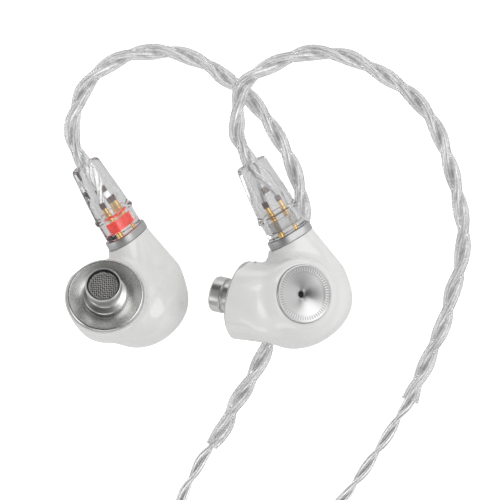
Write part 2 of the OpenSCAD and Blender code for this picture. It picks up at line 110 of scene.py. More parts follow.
def tilt_rows(y_turn: float, z_turn: float) -> np.ndarray:
    """Axes turned about y and then about z, in degrees, one in each row."""
    a, b = math.radians(y_turn), math.radians(z_turn)
    about_y = np.array([[math.cos(a), 0, -math.sin(a)], [0, 1, 0], [math.sin(a), 0, math.cos(a)]])
    about_z = np.array([[math.cos(b), math.sin(b), 0], [-math.sin(b), math.cos(b), 0], [0, 0, 1]])
    return about_y @ about_z


def barrel_place(origin: Points, out: Points, up: Points, hand: float) -> Place:
    """The frame of one earphone.

    Args:
        origin: the middle of the barrel's mouth.
        out: roughly the way out of the dish.
        up: the way from the barrel to the plug.
        hand: 1 for the left earphone, -1 for its mirror image.

    Returns:
        The frame, with the shared middle taken off.
    """
    v = unit(up)
    w = np.asarray(out, float)
    w = unit(w - (w @ v) * v)
    return Place(np.asarray(origin, float) - MID, np.array([w, hand * np.cross(v, w), v]))


EAR_PLACE: Dict[Side, Place] = {
    Side.LEFT: barrel_place([6.97, 1.82, 6.94], [0.3853, 0.0601, 0.9208],
                            [-0.4731, 0.8696, 0.1413], 1),
    Side.RIGHT: barrel_place([-20.27, 1.92, 7.52], [-0.6829, -0.2313, -0.6930],
                             [-0.4964, 0.8428, 0.2079], -1),
}


# ------------------------------------------------------------------ shader writing


class Value:
    """A number on a socket. Arithmetic on it adds Math nodes."""

    def __init__(self, tree: "Tree", socket: bpy.types.NodeSocket) -> None:
        """Wraps one output socket of a tree."""
        self.tree = tree
        self.socket = socket

    def math(self, operation: str, *others: Union["Value", float], first: bool = True) -> "Value":
        """The result of one Math node.

        Args:
            operation: the node's operation.
            others: the other operands.
            first: False puts this value after the others.

        Returns:
            The node's value.
        """
        operands = (self, *others) if first else (*others, self)
        made = self.tree.node("ShaderNodeMath", {"operation": operation}, dict(enumerate(operands)))
        return Value(self.tree, made.outputs[0])

    def __add__(self, other: Union["Value", float]) -> "Value":
        """Sum."""
        return self.math("ADD", other)

    __radd__ = __add__

    def __sub__(self, other: Union["Value", float]) -> "Value":
        """Difference."""
        return self.math("SUBTRACT", other)

    def __rsub__(self, other: float) -> "Value":
        """Difference from a number."""
        return self.math("SUBTRACT", other, first=False)

    def __mul__(self, other: Union["Value", float]) -> "Value":
        """Product."""
        return self.math("MULTIPLY", other)

    __rmul__ = __mul__

    def __gt__(self, other: float) -> "Value":
        """1 where this value is greater."""
        return self.math("GREATER_THAN", other)

    def __lt__(self, other: float) -> "Value":
        """1 where this value is less."""
        return self.math("LESS_THAN", other)

    def sine(self) -> "Value":
        """Sine of this value."""
        return self.math("SINE")

    def size(self) -> "Value":
        """Absolute value."""
        return self.math("ABSOLUTE")

    def fraction(self) -> "Value":
        """Part after the decimal point."""
        return self.math("FRACT")

    def held(self, low: float = 0.0, high: float = 1.0) -> "Value":
        """This value kept between two numbers."""
        return self.math("MAXIMUM", low).math("MINIMUM", high)


class Tree:
    """A material's node tree, written as expressions."""

    def __init__(self, name: str) -> None:
        """Starts a material of that name with an empty tree."""
        self.material = bpy.data.materials.new(name)
        self.material.use_nodes = True
        self.nodes = self.material.node_tree.nodes
        self.links = self.material.node_tree.links
        self.nodes.clear()

    def node(self, kind: str, settings: Optional[Dict[str, Setting]] = None,
             inputs: Optional[Dict[Union[int, str], object]] = None) -> bpy.types.Node:
        """Adds one node.

        Args:
            kind: the node's type name.
            settings: its own settings, set first.
            inputs: the values or links of its sockets, by name or number.

        Returns:
            The node.
        """
        made = self.nodes.new(kind)
        for key, value in (settings or {}).items():
            setattr(made, key, value)
        for key, value in (inputs or {}).items():
            if isinstance(value, Value):
                self.links.new(value.socket, made.inputs[key])
            elif isinstance(value, bpy.types.NodeSocket):
                self.links.new(value, made.inputs[key])
            else:
                made.inputs[key].default_value = value
        return made

    def place(self, scale: Tuple[float, float, float] = (1, 1, 1)) -> bpy.types.NodeSocket:
        """Object coordinates in metres, stretched by scale."""
        at = self.node("ShaderNodeTexCoord").outputs["Object"]
        return self.node("ShaderNodeVectorMath", {"operation": "MULTIPLY"}, {0: at, 1: scale}).outputs[0]

    def around(self) -> Tuple[Value, Value]:
        """The piece's own map: turns round it, and millimetres along it."""
        own = self.node("ShaderNodeUVMap", {"uv_map": "way"}).outputs[0]
        split = self.node("ShaderNodeSeparateXYZ", None, {0: own})
        return Value(self, split.outputs[0]), Value(self, split.outputs[1])

    def joined(self, x: Union[Value, float], y: Union[Value, float],
               z: Union[Value, float] = 0.0) -> bpy.types.NodeSocket:
        """Three numbers as one vector."""
        return self.node("ShaderNodeCombineXYZ", None, {0: x, 1: y, 2: z}).outputs[0]

    def noise(self, at: bpy.types.NodeSocket, scale: float, detail: float = 3.0, rough: float = 0.5) -> Value:
        """Soft random value between 0 and 1."""
        made = self.node("ShaderNodeTexNoise", None,
                         {"Vector": at, "Scale": scale, "Detail": detail, "Roughness": rough})
        return Value(self, made.outputs[0])

    def cells(self, at: bpy.types.NodeSocket, scale: float) -> Value:
        """Distance to the nearest of scattered points."""
        return Value(self, self.node("ShaderNodeTexVoronoi", None, {"Vector": at, "Scale": scale}).outputs[0])

    def blend(self, factor: Union[Value, float], first: Sequence[float],
              second: Sequence[float]) -> bpy.types.NodeSocket:
        """A colour between two colours."""
        made = self.node("ShaderNodeMix", {"data_type": "RGBA"},
                         {0: factor, 6: (*first[:3], 1.0), 7: (*second[:3], 1.0)})
        return made.outputs[2]

    def bump(self, height: Value, depth: float, strength: float = 1.0) -> bpy.types.NodeSocket:
        """A normal that follows a height between 0 and 1, depth metres deep."""
        return self.node("ShaderNodeBump", None,
                         {"Strength": strength, "Distance": depth, "Height": height}).outputs[0]

    def surface(self, inputs: Dict[str, object]) -> bpy.types.Material:
        """Ends the tree in one principled surface and returns the material."""
        shader = self.node("ShaderNodeBsdfPrincipled", None, inputs)
        self.node("ShaderNodeOutputMaterial", None, {0: shader.outputs[0]})
        return self.material


# ------------------------------------------------------------------ finishes


@dataclass(frozen=True)
class PearlLacquer:
    """Glossy off-white moulded shell under a clear coat."""

    tint: Tuple[float, float, float] = (0.875, 0.875, 0.862)
    shade: Tuple[float, float, float] = (0.835, 0.835, 0.822)

    def make(self) -> bpy.types.Material:
        """The material: fine pearl flake in the colour, slight orange peel in the coat."""
        t = Tree("pearl_lacquer")
        at = t.place()
        cloud = t.noise(at, 260, 4)
        flake = t.cells(at, 5200)
        mask = (cloud * 0.7 + flake * 0.45).held()
        peel = t.noise(at, 900, 2)
        return t.surface({
            "Base Color": t.blend(mask, self.tint, self.shade),
            "Roughness": (0.24 + 0.10 * flake).held(),
            "Normal": t.bump(peel, 0.0000035),
            "Coat Weight": 1.0, "Coat Roughness": 0.035, "Specular IOR Level": 0.5,
        })


@dataclass(frozen=True)
class SatinMetal:
    """Turned or blasted metal with fine tool lines round the piece.

    Attributes:
        name: the material's name.
        light: the brighter colour of the grain.
        dark: the darker colour of the grain.
        rough: mean roughness.
        lines: tool lines a millimetre.
    """

    name: str = "satin_metal"
    light: Tuple[float, float, float] = (0.72, 0.72, 0.71)
    dark: Tuple[float, float, float] = (0.54, 0.54, 0.53)
    rough: float = 0.27
    lines: float = 7.0

    def make(self) -> bpy.types.Material:
        """The material: lines round the piece and a fine blasted grain."""
        t = Tree(self.name)
        around, along = t.around()
        line = t.noise(t.joined(around * 1.5, along * self.lines), 1.0, 4, 0.65)
        grain = t.noise(t.place(), 5200, 2)
        height = line * 0.6 + grain * 0.4
        return t.surface({
            "Base Color": t.blend(height, self.dark, self.light),
            "Metallic": 1.0,
            "Roughness": (self.rough + 0.10 * (line - 0.5) + 0.08 * (grain - 0.5)).held(0.08, 0.7),
            "Normal": t.bump(height, 0.0000016),
        })


@dataclass(frozen=True)
class DishMetal:
    """The dish plate: a turned cone inside a flat rim with a ring of short engraved ticks."""

    light: Tuple[float, float, float] = (0.65, 0.65, 0.645)
    dark: Tuple[float, float, float] = (0.36, 0.36, 0.36)
    ticks: int = 60

    def make(self) -> bpy.types.Material:
        """The material; the map's length along the face picks out the ring of ticks."""
        t = Tree("dish_metal")
        around, along = t.around()
        line = t.noise(t.joined(around * 2.0, along * 16), 1.0, 4, 0.7)
        wave = (around * (self.ticks * 2 * math.pi)).sine()
        band = (along > 3.72) * (along < 4.32)
        tick = (wave > 0.1) * band
        height = line * 0.12 + (1 - tick) * 0.8
        return t.surface({
            "Base Color": t.blend((tick * 0.75 + line * 0.25).held(), self.light, self.dark),
            "Metallic": 1.0,
            "Roughness": (0.33 + 0.10 * (line - 0.5) + 0.1 * tick).held(),
            "Normal": t.bump(height, 0.000010, 0.6),
        })


@dataclass(frozen=True)
class ClearMoulding:
    """Clear moulded plastic that shows its inside.

    Attributes:
        name: the material's name.
        tint: the colour light takes inside it.
        ior: how strongly it bends light.
        wobble: depth in metres of the moulding's unevenness.
        rough: surface roughness.
        through: how much light passes; the rest scatters as haze.
        streak: how much darker the painted streaks along the piece are; they stand in for streaky
            reflections.
        edge: how much darker the painted shade makes the side away from the cord's middle.
        lit: strength of a painted glow in white, though it is no lamp.
    """

    name: str = "clear_plastic"
    tint: Tuple[float, float, float] = (0.95, 0.95, 0.955)
    ior: float = 1.49
    wobble: float = 0.00002
    rough: float = 0.02
    through: float = 0.97
    streak: float = 0.0
    edge: float = 0.0
    lit: float = 0.0

    def make(self) -> bpy.types.Material:
        """The material: flow marks in the surface, a faint haze, and where asked painted streaks, painted
        shade and a painted glow.
        """
        t = Tree(self.name)
        at = t.place()
        flow = t.noise(at, 420, 3)
        haze = t.noise(at, 1500, 3)
        mask: Value = haze
        if self.streak:
            around, along = t.around()
            # Painted streaks: darker and lighter bands along the piece, standing in for streaky reflections.
            mask = (t.noise(t.joined(around * 7, along * 0.20), 1.0, 2, 0.5) * 4.0 - 1.5).held()
            if self.edge:
                # Painted shade: the side of each strand away from the cord's middle is darker.
                mask = mask * 0.3 + ((around - 0.5).size() * 9 - 3.3).held() * 0.7
        shade = tuple(c * (0.97 - self.streak - self.edge) for c in self.tint)
        return t.surface({
            # Painted glow: white emission of strength lit.
            "Emission Color": (1.0, 1.0, 1.0, 1.0), "Emission Strength": self.lit,
            "Base Color": t.blend(mask, self.tint, shade),
            "Roughness": (self.rough + 0.05 * (haze * flow)).held(),
            "Normal": t.bump(flow, self.wobble),
            "Transmission Weight": self.through, "IOR": self.ior,
        })


@dataclass(frozen=True)
class SilverStrand:
    """Bunched fine silver-plated wires, laid with a slow twist."""

    name: str = "silver_strand"
    wires: int = 5
    light: Tuple[float, float, float] = (1.0, 1.0, 1.0)
    dark: Tuple[float, float, float] = (0.26, 0.26, 0.265)
    # lit: strength of a painted glow in the strand's own tone, though it is no lamp.
    lit: float = 0.48

    def make(self) -> bpy.types.Material:
        """The material: rounded wires in the bump; in the colour, painted highlight along each wire's crown,
        painted shade in the gaps between wires and on the side that faces the other strand, and a painted
        glow.
        """
        t = Tree(self.name)
        around, along = t.around()
        lane = (around * float(self.wires) + along * 0.32).fraction() - 0.5
        # The crown makes the bump; in the colour it also paints a highlight along each wire and shade in the
        # gaps between them.
        crown = 1 - (lane * lane) * 4
        fleck = t.noise(t.joined(around * 6, along * 1.6), 1.0, 3, 0.6)
        # Painted shade: the side of the strand that faces the other strand is darker; this mask is 0 there
        # and 1 on the open side.
        painted_contact_shade = ((around - 0.5).size() * 3.4).held()
        mask = ((crown * 1.0 + fleck * 1.1 - 0.55) * painted_contact_shade).held()
        tone = t.blend(mask, self.dark, self.light)
        return t.surface({
            "Base Color": tone,
            "Metallic": 0.30,
            "Roughness": (0.26 + 0.2 * (fleck - 0.5)).held(),
            "Normal": t.bump(crown, 0.00007, 0.9),
            "Emission Color": tone, "Emission Strength": self.lit,
        })


@dataclass(frozen=True)
class PlainFinish:
    """A solid material with grain in its colour, roughness and surface, and where asked a painted glow.

    Attributes:
        name: the material's name.
        light: the brighter colour.
        dark: the darker colour.
        metal: how metallic it is.
        rough: mean roughness.
        scale: grain a metre.
        depth: grain depth in metres.
        lit: strength of a painted glow in its own colours, though it is no lamp.
    """

    name: str
    light: Tuple[float, float, float]
    dark: Tuple[float, float, float]
    metal: float = 0.0
    rough: float = 0.4
    scale: float = 2500.0
    depth: float = 0.000004
    lit: float = 0.0

    def make(self) -> bpy.types.Material:
        """The material: two sizes of grain."""
        t = Tree(self.name)
        at = t.place()
        fine = t.noise(at, self.scale, 4)
        broad = t.noise(at, self.scale * 0.16, 2)
        mask = fine * 0.6 + broad * 0.4
        # Painted glow: with lit set, the grain is made stronger and the piece gives out its own colours.
        if self.lit:
            mask = (mask * 3.0 - 1.0).held()
        tone = t.blend(mask, self.dark, self.light)
        inputs: Dict[str, object] = {
            "Base Color": tone,
            "Metallic": self.metal,
            "Roughness": (self.rough + 0.16 * (fine - 0.5)).held(0.05, 0.95),
            "Normal": t.bump(mask, self.depth),
        }
        if self.lit:
            inputs["Emission Color"] = tone
            inputs["Emission Strength"] = self.lit
        return t.surface(inputs)


class Finishes:
    """Every finish of the object, made once."""

    def __init__(self) -> None:
        """Makes the materials."""
        self.pearl = PearlLacquer().make()
        self.metal = SatinMetal().make()
        self.lip = SatinMetal("lip_metal", (0.80, 0.80, 0.79), (0.66, 0.66, 0.65), 0.30, 9.0).make()
        self.collar = SatinMetal("collar_metal", (0.62, 0.62, 0.62), (0.48, 0.48, 0.48), 0.45, 3.0).make()
        self.dish = DishMetal().make()
        self.clear = ClearMoulding().make()
        # Jackets: painted streaks, and painted shade on the side away from the cord's middle.
        self.jacket = ClearMoulding("clear_jacket", (0.96, 0.96, 0.96), 1.44, 0.000012, 0.03, 0.93,
                                    streak=0.10, edge=0.35).make()
        # Sleeve: painted streaks and a faint painted glow.
        self.sleeve = ClearMoulding("clear_sleeve", (1.0, 1.0, 1.0), 1.50, 0.00003, 0.03, 0.90,
                                    streak=0.30, lit=0.042).make()
        self.strand = SilverStrand().make()
        # The red block takes a painted glow.
        self.red = PlainFinish("red_clear", (1.0, 0.03, 0.006), (0.55, 0.003, 0.001), 0, 0.22, 2400,
                               0.00001, lit=0.62).make()
        self.clear_block = ClearMoulding("clear_block", (0.90, 0.90, 0.89), 1.5, 0.00001, 0.10, 0.75).make()
        self.gold = PlainFinish("gold_contact", (0.95, 0.68, 0.30), (0.85, 0.55, 0.20), 1, 0.22, 3000).make()
        self.black = PlainFinish("black_ring", (0.02, 0.02, 0.02), (0.008, 0.008, 0.008), 0, 0.4).make()
        self.plastic = PlainFinish("black_plastic", (0.035, 0.035, 0.037), (0.02, 0.02, 0.02), 0, 0.45).make()
        self.weave = PlainFinish("mesh_wire", (0.74, 0.73, 0.71), (0.55, 0.54, 0.52), 1, 0.32, 4000).make()
        self.steel = PlainFinish("driver_steel", (0.62, 0.62, 0.64), (0.50, 0.50, 0.52), 1, 0.3).make()
        self.magnet = PlainFinish("sintered_magnet", (0.30, 0.30, 0.32), (0.22, 0.22, 0.24), 1, 0.42).make()
        self.film = PlainFinish("diaphragm_film", (0.82, 0.74, 0.48), (0.74, 0.66, 0.40),
                                0.2, 0.25, 1800).make()
        self.copper = PlainFinish("copper_winding", (0.85, 0.42, 0.20), (0.66, 0.28, 0.12),
                                  1, 0.3, 5200, 0.00002).make()
        self.board = PlainFinish("circuit_board", (0.03, 0.22, 0.08), (0.02, 0.15, 0.05), 0, 0.3).make()
        self.insulation = PlainFinish("lead_insulation", (0.70, 0.05, 0.04), (0.55, 0.03, 0.03),
                                      0, 0.35).make()
        self.fabric = PlainFinish("damping_fabric", (0.03, 0.03, 0.03), (0.01, 0.01, 0.01),
                                  0, 0.9, 6000, 0.00003).make()
        self.solder = PlainFinish("soldered_joint", (0.30, 0.22, 0.19), (0.20, 0.15, 0.13),
                                  0.2, 0.6, 2600, 0.00002).make()


# ------------------------------------------------------------------ meshes


def mesh_object(name: str, points: np.ndarray, faces: Sequence[Sequence[int]],
                materials: Sequence[bpy.types.Material], ways: Optional[Sequence[Tuple[float, float]]] = None,
                slots: Optional[Sequence[int]] = None, solid: bool = True) -> bpy.types.Object:
    """A mesh object from points in row millimetres.

    Args:
        name: the piece's name.
        points: the points.
        faces: point numbers of each face.
        materials: the piece's materials.
        ways: the piece's own map, one pair for each corner of each face in turn.
        slots: which material each face takes.
        solid: True turns a closed mesh so that its faces point outwards.

    Returns:
        The object, with its place in its mesh.
    """
    mesh = bpy.data.meshes.new(name)
    faces = [tuple(int(i) for i in f) for f in faces]
    points = np.asarray(points, float) * MM
    if solid:
        heart = points.mean(axis=0)
        volume = 0.0
        for f in faces:
            a = points[f[0]] - heart
            for i in range(1, len(f) - 1):
                volume += float(np.dot(a, np.cross(points[f[i]] - heart, points[f[i + 1]] - heart)))
        if volume < 0:
            if ways is not None:
                turned, at = [], 0
                for f in faces:
                    turned.extend(reversed(list(ways[at:at + len(f)])))
                    at += len(f)
                ways = turned
            faces = [tuple(reversed(f)) for f in faces]
    mesh.from_pydata([tuple(p) for p in points], [], faces)
    if ways is not None:
        layer = mesh.uv_layers.new(name="way")
        layer.data.foreach_set("uv", np.asarray(ways, np.float32).ravel())
    for material in materials:
        mesh.materials.append(material)
    if slots is not None:
        mesh.polygons.foreach_set("material_index", np.asarray(slots, np.int32))
    mesh.polygons.foreach_set("use_smooth", np.ones(len(mesh.polygons), bool))
    mesh.update()
    thing = bpy.data.objects.new(name, mesh)
    bpy.context.scene.collection.objects.link(thing)
    return thing


def settle(thing: bpy.types.Object) -> bpy.types.Object:
    """Applies an object's modifiers to its mesh and takes them off."""
    evaluated = thing.evaluated_get(bpy.context.evaluated_depsgraph_get())
    mesh = bpy.data.meshes.new_from_object(evaluated)
    mesh.name = thing.name
    thing.modifiers.clear()
    thing.data = mesh
    return thing


def even_shading(thing: bpy.types.Object, angle: float = 38.0) -> bpy.types.Object:
    """Smooth shading in which flats stay flat beside small rounded edges.

    Args:
        thing: the piece.
        angle: edges sharper than this, in degrees, stay sharp.

    Returns:
        The piece.
    """
    bm = bmesh.new()
    bm.from_mesh(thing.data)
    bmesh.ops.remove_doubles(bm, verts=bm.verts, dist=1e-7)
    bm.to_mesh(thing.data)
    bm.free()
    thing.data.set_sharp_from_angle(angle=math.radians(angle))
    modifier = thing.modifiers.new("even", "WEIGHTED_NORMAL")
    modifier.keep_sharp = True
    modifier.weight = 60
    return settle(thing)


def rounded(outline: Points, radius: float, steps: int = 4) -> List[Tuple[float, float]]:
    """A closed outline with its corners rounded.

    Args:
        outline: the corners in turn, as distance from the axis and height.
        radius: how far back along each edge a corner starts to turn.
        steps: points in each rounded corner.

    Returns:
        The new outline.
    """
    p = [np.asarray(q, float) for q in outline]
    out: List[Tuple[float, float]] = []
    for i, here in enumerate(p):
        back, ahead = p[i - 1] - here, p[(i + 1) % len(p)] - here
        lb, la = np.linalg.norm(back), np.linalg.norm(ahead)
        if here[0] < 1e-6 or lb < 1e-9 or la < 1e-9:
            out.append((float(here[0]), float(here[1])))
            continue
        bend = math.degrees(math.acos(max(-1.0, min(1.0, float(-(back / lb) @ (ahead / la))))))
        if bend < 4:
            out.append((float(here[0]), float(here[1])))
            continue
        r = min(radius, 0.42 * lb, 0.42 * la)
        a, b = here + back / lb * r, here + ahead / la * r
        for k in range(steps + 1):
            t = k / steps
            q = (1 - t) ** 2 * a + 2 * t * (1 - t) * here + t * t * b
            out.append((float(q[0]), float(q[1])))
    return out


def turned(name: str, outline: Points, place: Place, material: bpy.types.Material, fillet: float = 0.08,
           sides: int = 96) -> bpy.types.Object:
    """A piece turned on a lathe.

    Args:
        name: the piece's name.
        outline: closed outline, as distance from the axis and height.
        place: the frame whose z is the axis.
        material: its finish.
        fillet: size of the rounded edges.
        sides: facets round the axis.

    Returns:
        The piece.
    """
    line = rounded(outline, fillet)
    n = len(line)
    turn = np.arange(sides) * 2 * math.pi / sides
    points = np.array([[r * math.cos(a), r * math.sin(a), z] for r, z in line for a in turn])
    far = [0.0]
    for i in range(n):
        q, w = line[i], line[(i + 1) % n]
        far.append(far[-1] + math.hypot(w[0] - q[0], w[1] - q[1]))
    faces, ways = [], []
    for i in range(n):
        j = (i + 1) % n
        if line[i][0] < 1e-6 and line[j][0] < 1e-6:
            continue
        for k in range(sides):
            m = (k + 1) % sides
            u0, u1 = k / sides, (k + 1) / sides
            corners = [(i * sides + k, u0, far[i]), (i * sides + m, u1, far[i]),
                       (j * sides + m, u1, far[i + 1]), (j * sides + k, u0, far[i + 1])]
            if line[i][0] < 1e-6:
                corners = [corners[0], corners[2], corners[3]]
            elif line[j][0] < 1e-6:
                corners = [corners[0], corners[1], corners[2]]
            faces.append([c[0] for c in corners])
            ways.extend((c[1], c[2]) for c in corners)
    used = sorted({i for f in faces for i in f})
    number = {old: new for new, old in enumerate(used)}
    faces = [[number[i] for i in f] for f in faces]
    return even_shading(mesh_object(name, place.put(points[used]), faces, [material], ways))


def stadium(long: float, thick: float, count: int = 72) -> np.ndarray:
    """Points round an oval with straight sides, long in y, centred on the origin."""
    half = (long - thick) / 2
    arc = np.linspace(-math.pi / 2, math.pi / 2, count // 2)
    r = thick / 2
    top = np.column_stack([r * np.sin(-arc), half + r * np.cos(arc)])
    low = np.column_stack([r * np.sin(arc), -half - r * np.cos(arc)])
    return np.vstack([top, low])


def skinned(rings: Sequence[np.ndarray], ends: bool, base: int = 0) -> Tuple[Faces, Ways]:
    """Faces and map between rings of equal count.

    Args:
        rings: the rings' points in turn.
        ends: True closes both ends.
        base: number of the first point.

    Returns:
        The faces, and the map's pair for each corner.
    """
    n = len(rings[0])
    faces: Faces = []
    ways: Ways = []
    far = 0.0
    for i in range(len(rings) - 1):
        step = float(np.linalg.norm(rings[i + 1].mean(axis=0) - rings[i].mean(axis=0)))
        step = max(step, float(np.linalg.norm(rings[i + 1][0] - rings[i][0])) * 0.5)
        a, b = base + i * n, base + (i + 1) * n
        for k in range(n):
            m = (k + 1) % n
            faces.append([a + k, a + m, b + m, b + k])
            ways.extend([(k / n, far), ((k + 1) / n, far), ((k + 1) / n, far + step), (k / n, far + step)])
        far += step
    if ends:
        last = base + (len(rings) - 1) * n
        faces.append([base + k for k in range(n - 1, -1, -1)])
        ways.extend([(0.0, 0.0)] * n)
        faces.append([last + k for k in range(n)])
        ways.extend([(0.0, far)] * n)
    return faces, ways


def oval_stack(name: str, rows: Points, place: Place, material: bpy.types.Material,
               hollow: Optional[Points] = None, through: bool = False) -> bpy.types.Object:
    """A column of oval sections, with an optional hollow.

    Args:
        name: the piece's name.
        rows: length, thickness and height of each section in turn.
        place: the frame whose z is the column's axis and whose y is its long way.
        material: its finish.
        hollow: the same for the inside.
        through: True joins the hollow to the outside at both ends.

    Returns:
        The piece.
    """
    def rings(table: Points) -> List[np.ndarray]:
        """The sections' points."""
        return [np.column_stack([stadium(a, b), np.full(72, z)]) for a, b, z in table]

    outer = rings(rows)
    if hollow is None:
        faces, ways = skinned(outer, True)
        loops = outer
    elif through:
        loops = outer + rings(hollow)[::-1] + [outer[0]]
        faces, ways = skinned(loops, False)
    else:
        inside = rings(hollow)
        faces, ways = skinned(outer, True)
        more, more_ways = skinned(inside, True, len(outer) * 72)
        at = 0
        for f in more:
            faces.append(f[::-1])
            ways.extend(more_ways[at:at + len(f)][::-1])
            at += len(f)
        loops = outer + inside
    return even_shading(mesh_object(name, place.put(np.vstack(loops)), faces, [material], ways))


def rounded_rows(long: float, thick: float, low: float, high: float, edge: float, steps: int = 4) -> Rows:
    """Sections of an oval block whose two edges are rounded.

    Args:
        long: its length.
        thick: its thickness.
        low: its lower face.
        high: its upper face.
        edge: radius of the rounded edges.
        steps: sections in each edge.

    Returns:
        Length, thickness and height of each section.
    """
    rows = []
    for k in range(steps + 1):
        a = math.pi / 2 * k / steps
        inset = edge * (1 - math.sin(a))
        rows.append((long - 2 * inset, thick - 2 * inset, low + edge * (1 - math.cos(a))))
    return rows + [(a, b, high + low - z) for a, b, z in rows[::-1]]


# ------------------------------------------------------------------ cords


def resampled(points: np.ndarray, step: float) -> np.ndarray:
    """A smooth line through points, at even steps along it.

    Args:
        points: the points to pass through.
        step: distance between the new points.

    Returns:
        The new points.
    """
    p = np.vstack([2 * points[0] - points[1], points, 2 * points[-1] - points[-2]])
    dense = []
    for i in range(1, len(p) - 2):
        a, b, c, d = p[i - 1], p[i], p[i + 1], p[i + 2]
        ta, tb, tc = (max(np.linalg.norm(y - x), 1e-9) ** 0.5 for x, y in ((a, b), (b, c), (c, d)))
        m1 = (b - a) / ta - (c - a) / (ta + tb) + (c - b) / tb
        m2 = (c - b) / tb - (d - b) / (tb + tc) + (d - c) / tc
        t = np.linspace(0, 1, 12, endpoint=False)[:, None]
        dense.append((2 * t ** 3 - 3 * t ** 2 + 1) * b + (t ** 3 - 2 * t ** 2 + t) * m1 * tb
                     + (-2 * t ** 3 + 3 * t ** 2) * c + (t ** 3 - t ** 2) * m2 * tb)
    dense = np.vstack(dense + [p[-2][None]])
    far = np.concatenate([[0], np.cumsum(np.linalg.norm(np.diff(dense, axis=0), axis=1))])
    count = max(int(round(far[-1] / step)), 2)
    at = np.linspace(0, far[-1], count + 1)
    return np.column_stack([np.interp(at, far, dense[:, k]) for k in range(3)])


def length_of(points: np.ndarray) -> float:
    """Length along a line of points."""
    return float(np.linalg.norm(np.diff(points, axis=0), axis=1).sum())


def carried_axes(path: np.ndarray) -> Tuple[np.ndarray, np.ndarray]:
    """Two axes across a path that don't turn about it.

    Args:
        path: the path's points.

    Returns:
        The two axes at every point.
    """
    way = np.gradient(path, axis=0)
    way /= np.linalg.norm(way, axis=1)[:, None]
    u = unit(np.cross(way[0], [0.1, 0.2, 1.0]))
    first = []
    for t in way:
        u = unit(u - (u @ t) * t)
        first.append(u)
    first_axis = np.array(first)
    return first_axis, np.cross(way, first_axis)


@dataclass(frozen=True)
class Twist:
    """How a cord is built up from its strands.

    Attributes:
        strands: how many strands run round each other.
        jacket: radius of one strand's clear jacket.
        core: radius of its wires.
        lay: distance from the middle of the cord to the middle of a strand.
        pitch: length of one whole turn.
    """

    strands: int
    jacket: float
    core: float
    lay: float
    pitch: float

    def angle(self, far: np.ndarray, strand: int) -> np.ndarray:
        """Where a strand lies round the cord at a distance along it."""
        return 2 * math.pi * (far / self.pitch + strand / self.strands)


@dataclass
class Cord:
    """One free cord: twisted strands along a path.

    Attributes:
        name: the piece's name.
        path: the route in row millimetres.
        twist: its strands.
        sides: facets round each jacket.
    """

    name: str
    path: np.ndarray
    twist: Twist
    sides: int = 12

    def tube(self, line: np.ndarray, radius: float, sides: int,
             out: Optional[np.ndarray] = None) -> List[np.ndarray]:
        """Rings of a round tube along a line.

        Args:
            line: the tube's middle.
            radius: its radius.
            sides: facets round it.
            out: the way each ring's first point lies, if it's to be kept.

        Returns:
            The rings.
        """
        u, v = carried_axes(line)
        if out is not None:
            way = np.gradient(line, axis=0)
            way /= np.linalg.norm(way, axis=1)[:, None]
            u = out - np.einsum("ij,ij->i", out, way)[:, None] * way
            u /= np.linalg.norm(u, axis=1)[:, None]
            v = np.cross(way, u)
        a = np.arange(sides) * 2 * math.pi / sides
        return [line[i] + radius * (np.outer(np.cos(a), u[i]) + np.outer(np.sin(a), v[i]))
                for i in range(len(line))]

    def build(self, jacket: bpy.types.Material, core: bpy.types.Material) -> bpy.types.Object:
        """Makes the cord's mesh.

        Args:
            jacket: the clear jackets' finish.
            core: the wires' finish.

        Returns:
            The piece.
        """
        u, v = carried_axes(self.path)
        far = np.concatenate([[0], np.cumsum(np.linalg.norm(np.diff(self.path, axis=0), axis=1))])
        points: List[np.ndarray] = []
        faces: Faces = []
        ways: Ways = []
        slots: List[int] = []
        base = 0
        for strand in range(self.twist.strands):
            a = self.twist.angle(far, strand)
            line = self.path + self.twist.lay * (np.cos(a)[:, None] * u + np.sin(a)[:, None] * v)
            out = np.cos(a)[:, None] * u + np.sin(a)[:, None] * v
            layers = ((self.twist.jacket, self.sides), (self.twist.core, self.sides - 2))
            for slot, (radius, sides) in enumerate(layers):
                rings = self.tube(line, radius, sides, out)
                f, w = skinned(rings, True, base)
                faces.extend(f)
                ways.extend(w)
                slots.extend([slot] * len(f))
                points.extend(rings)
                base += len(rings) * sides
        return mesh_object(self.name, np.vstack(points), faces, [jacket, core], ways, slots)


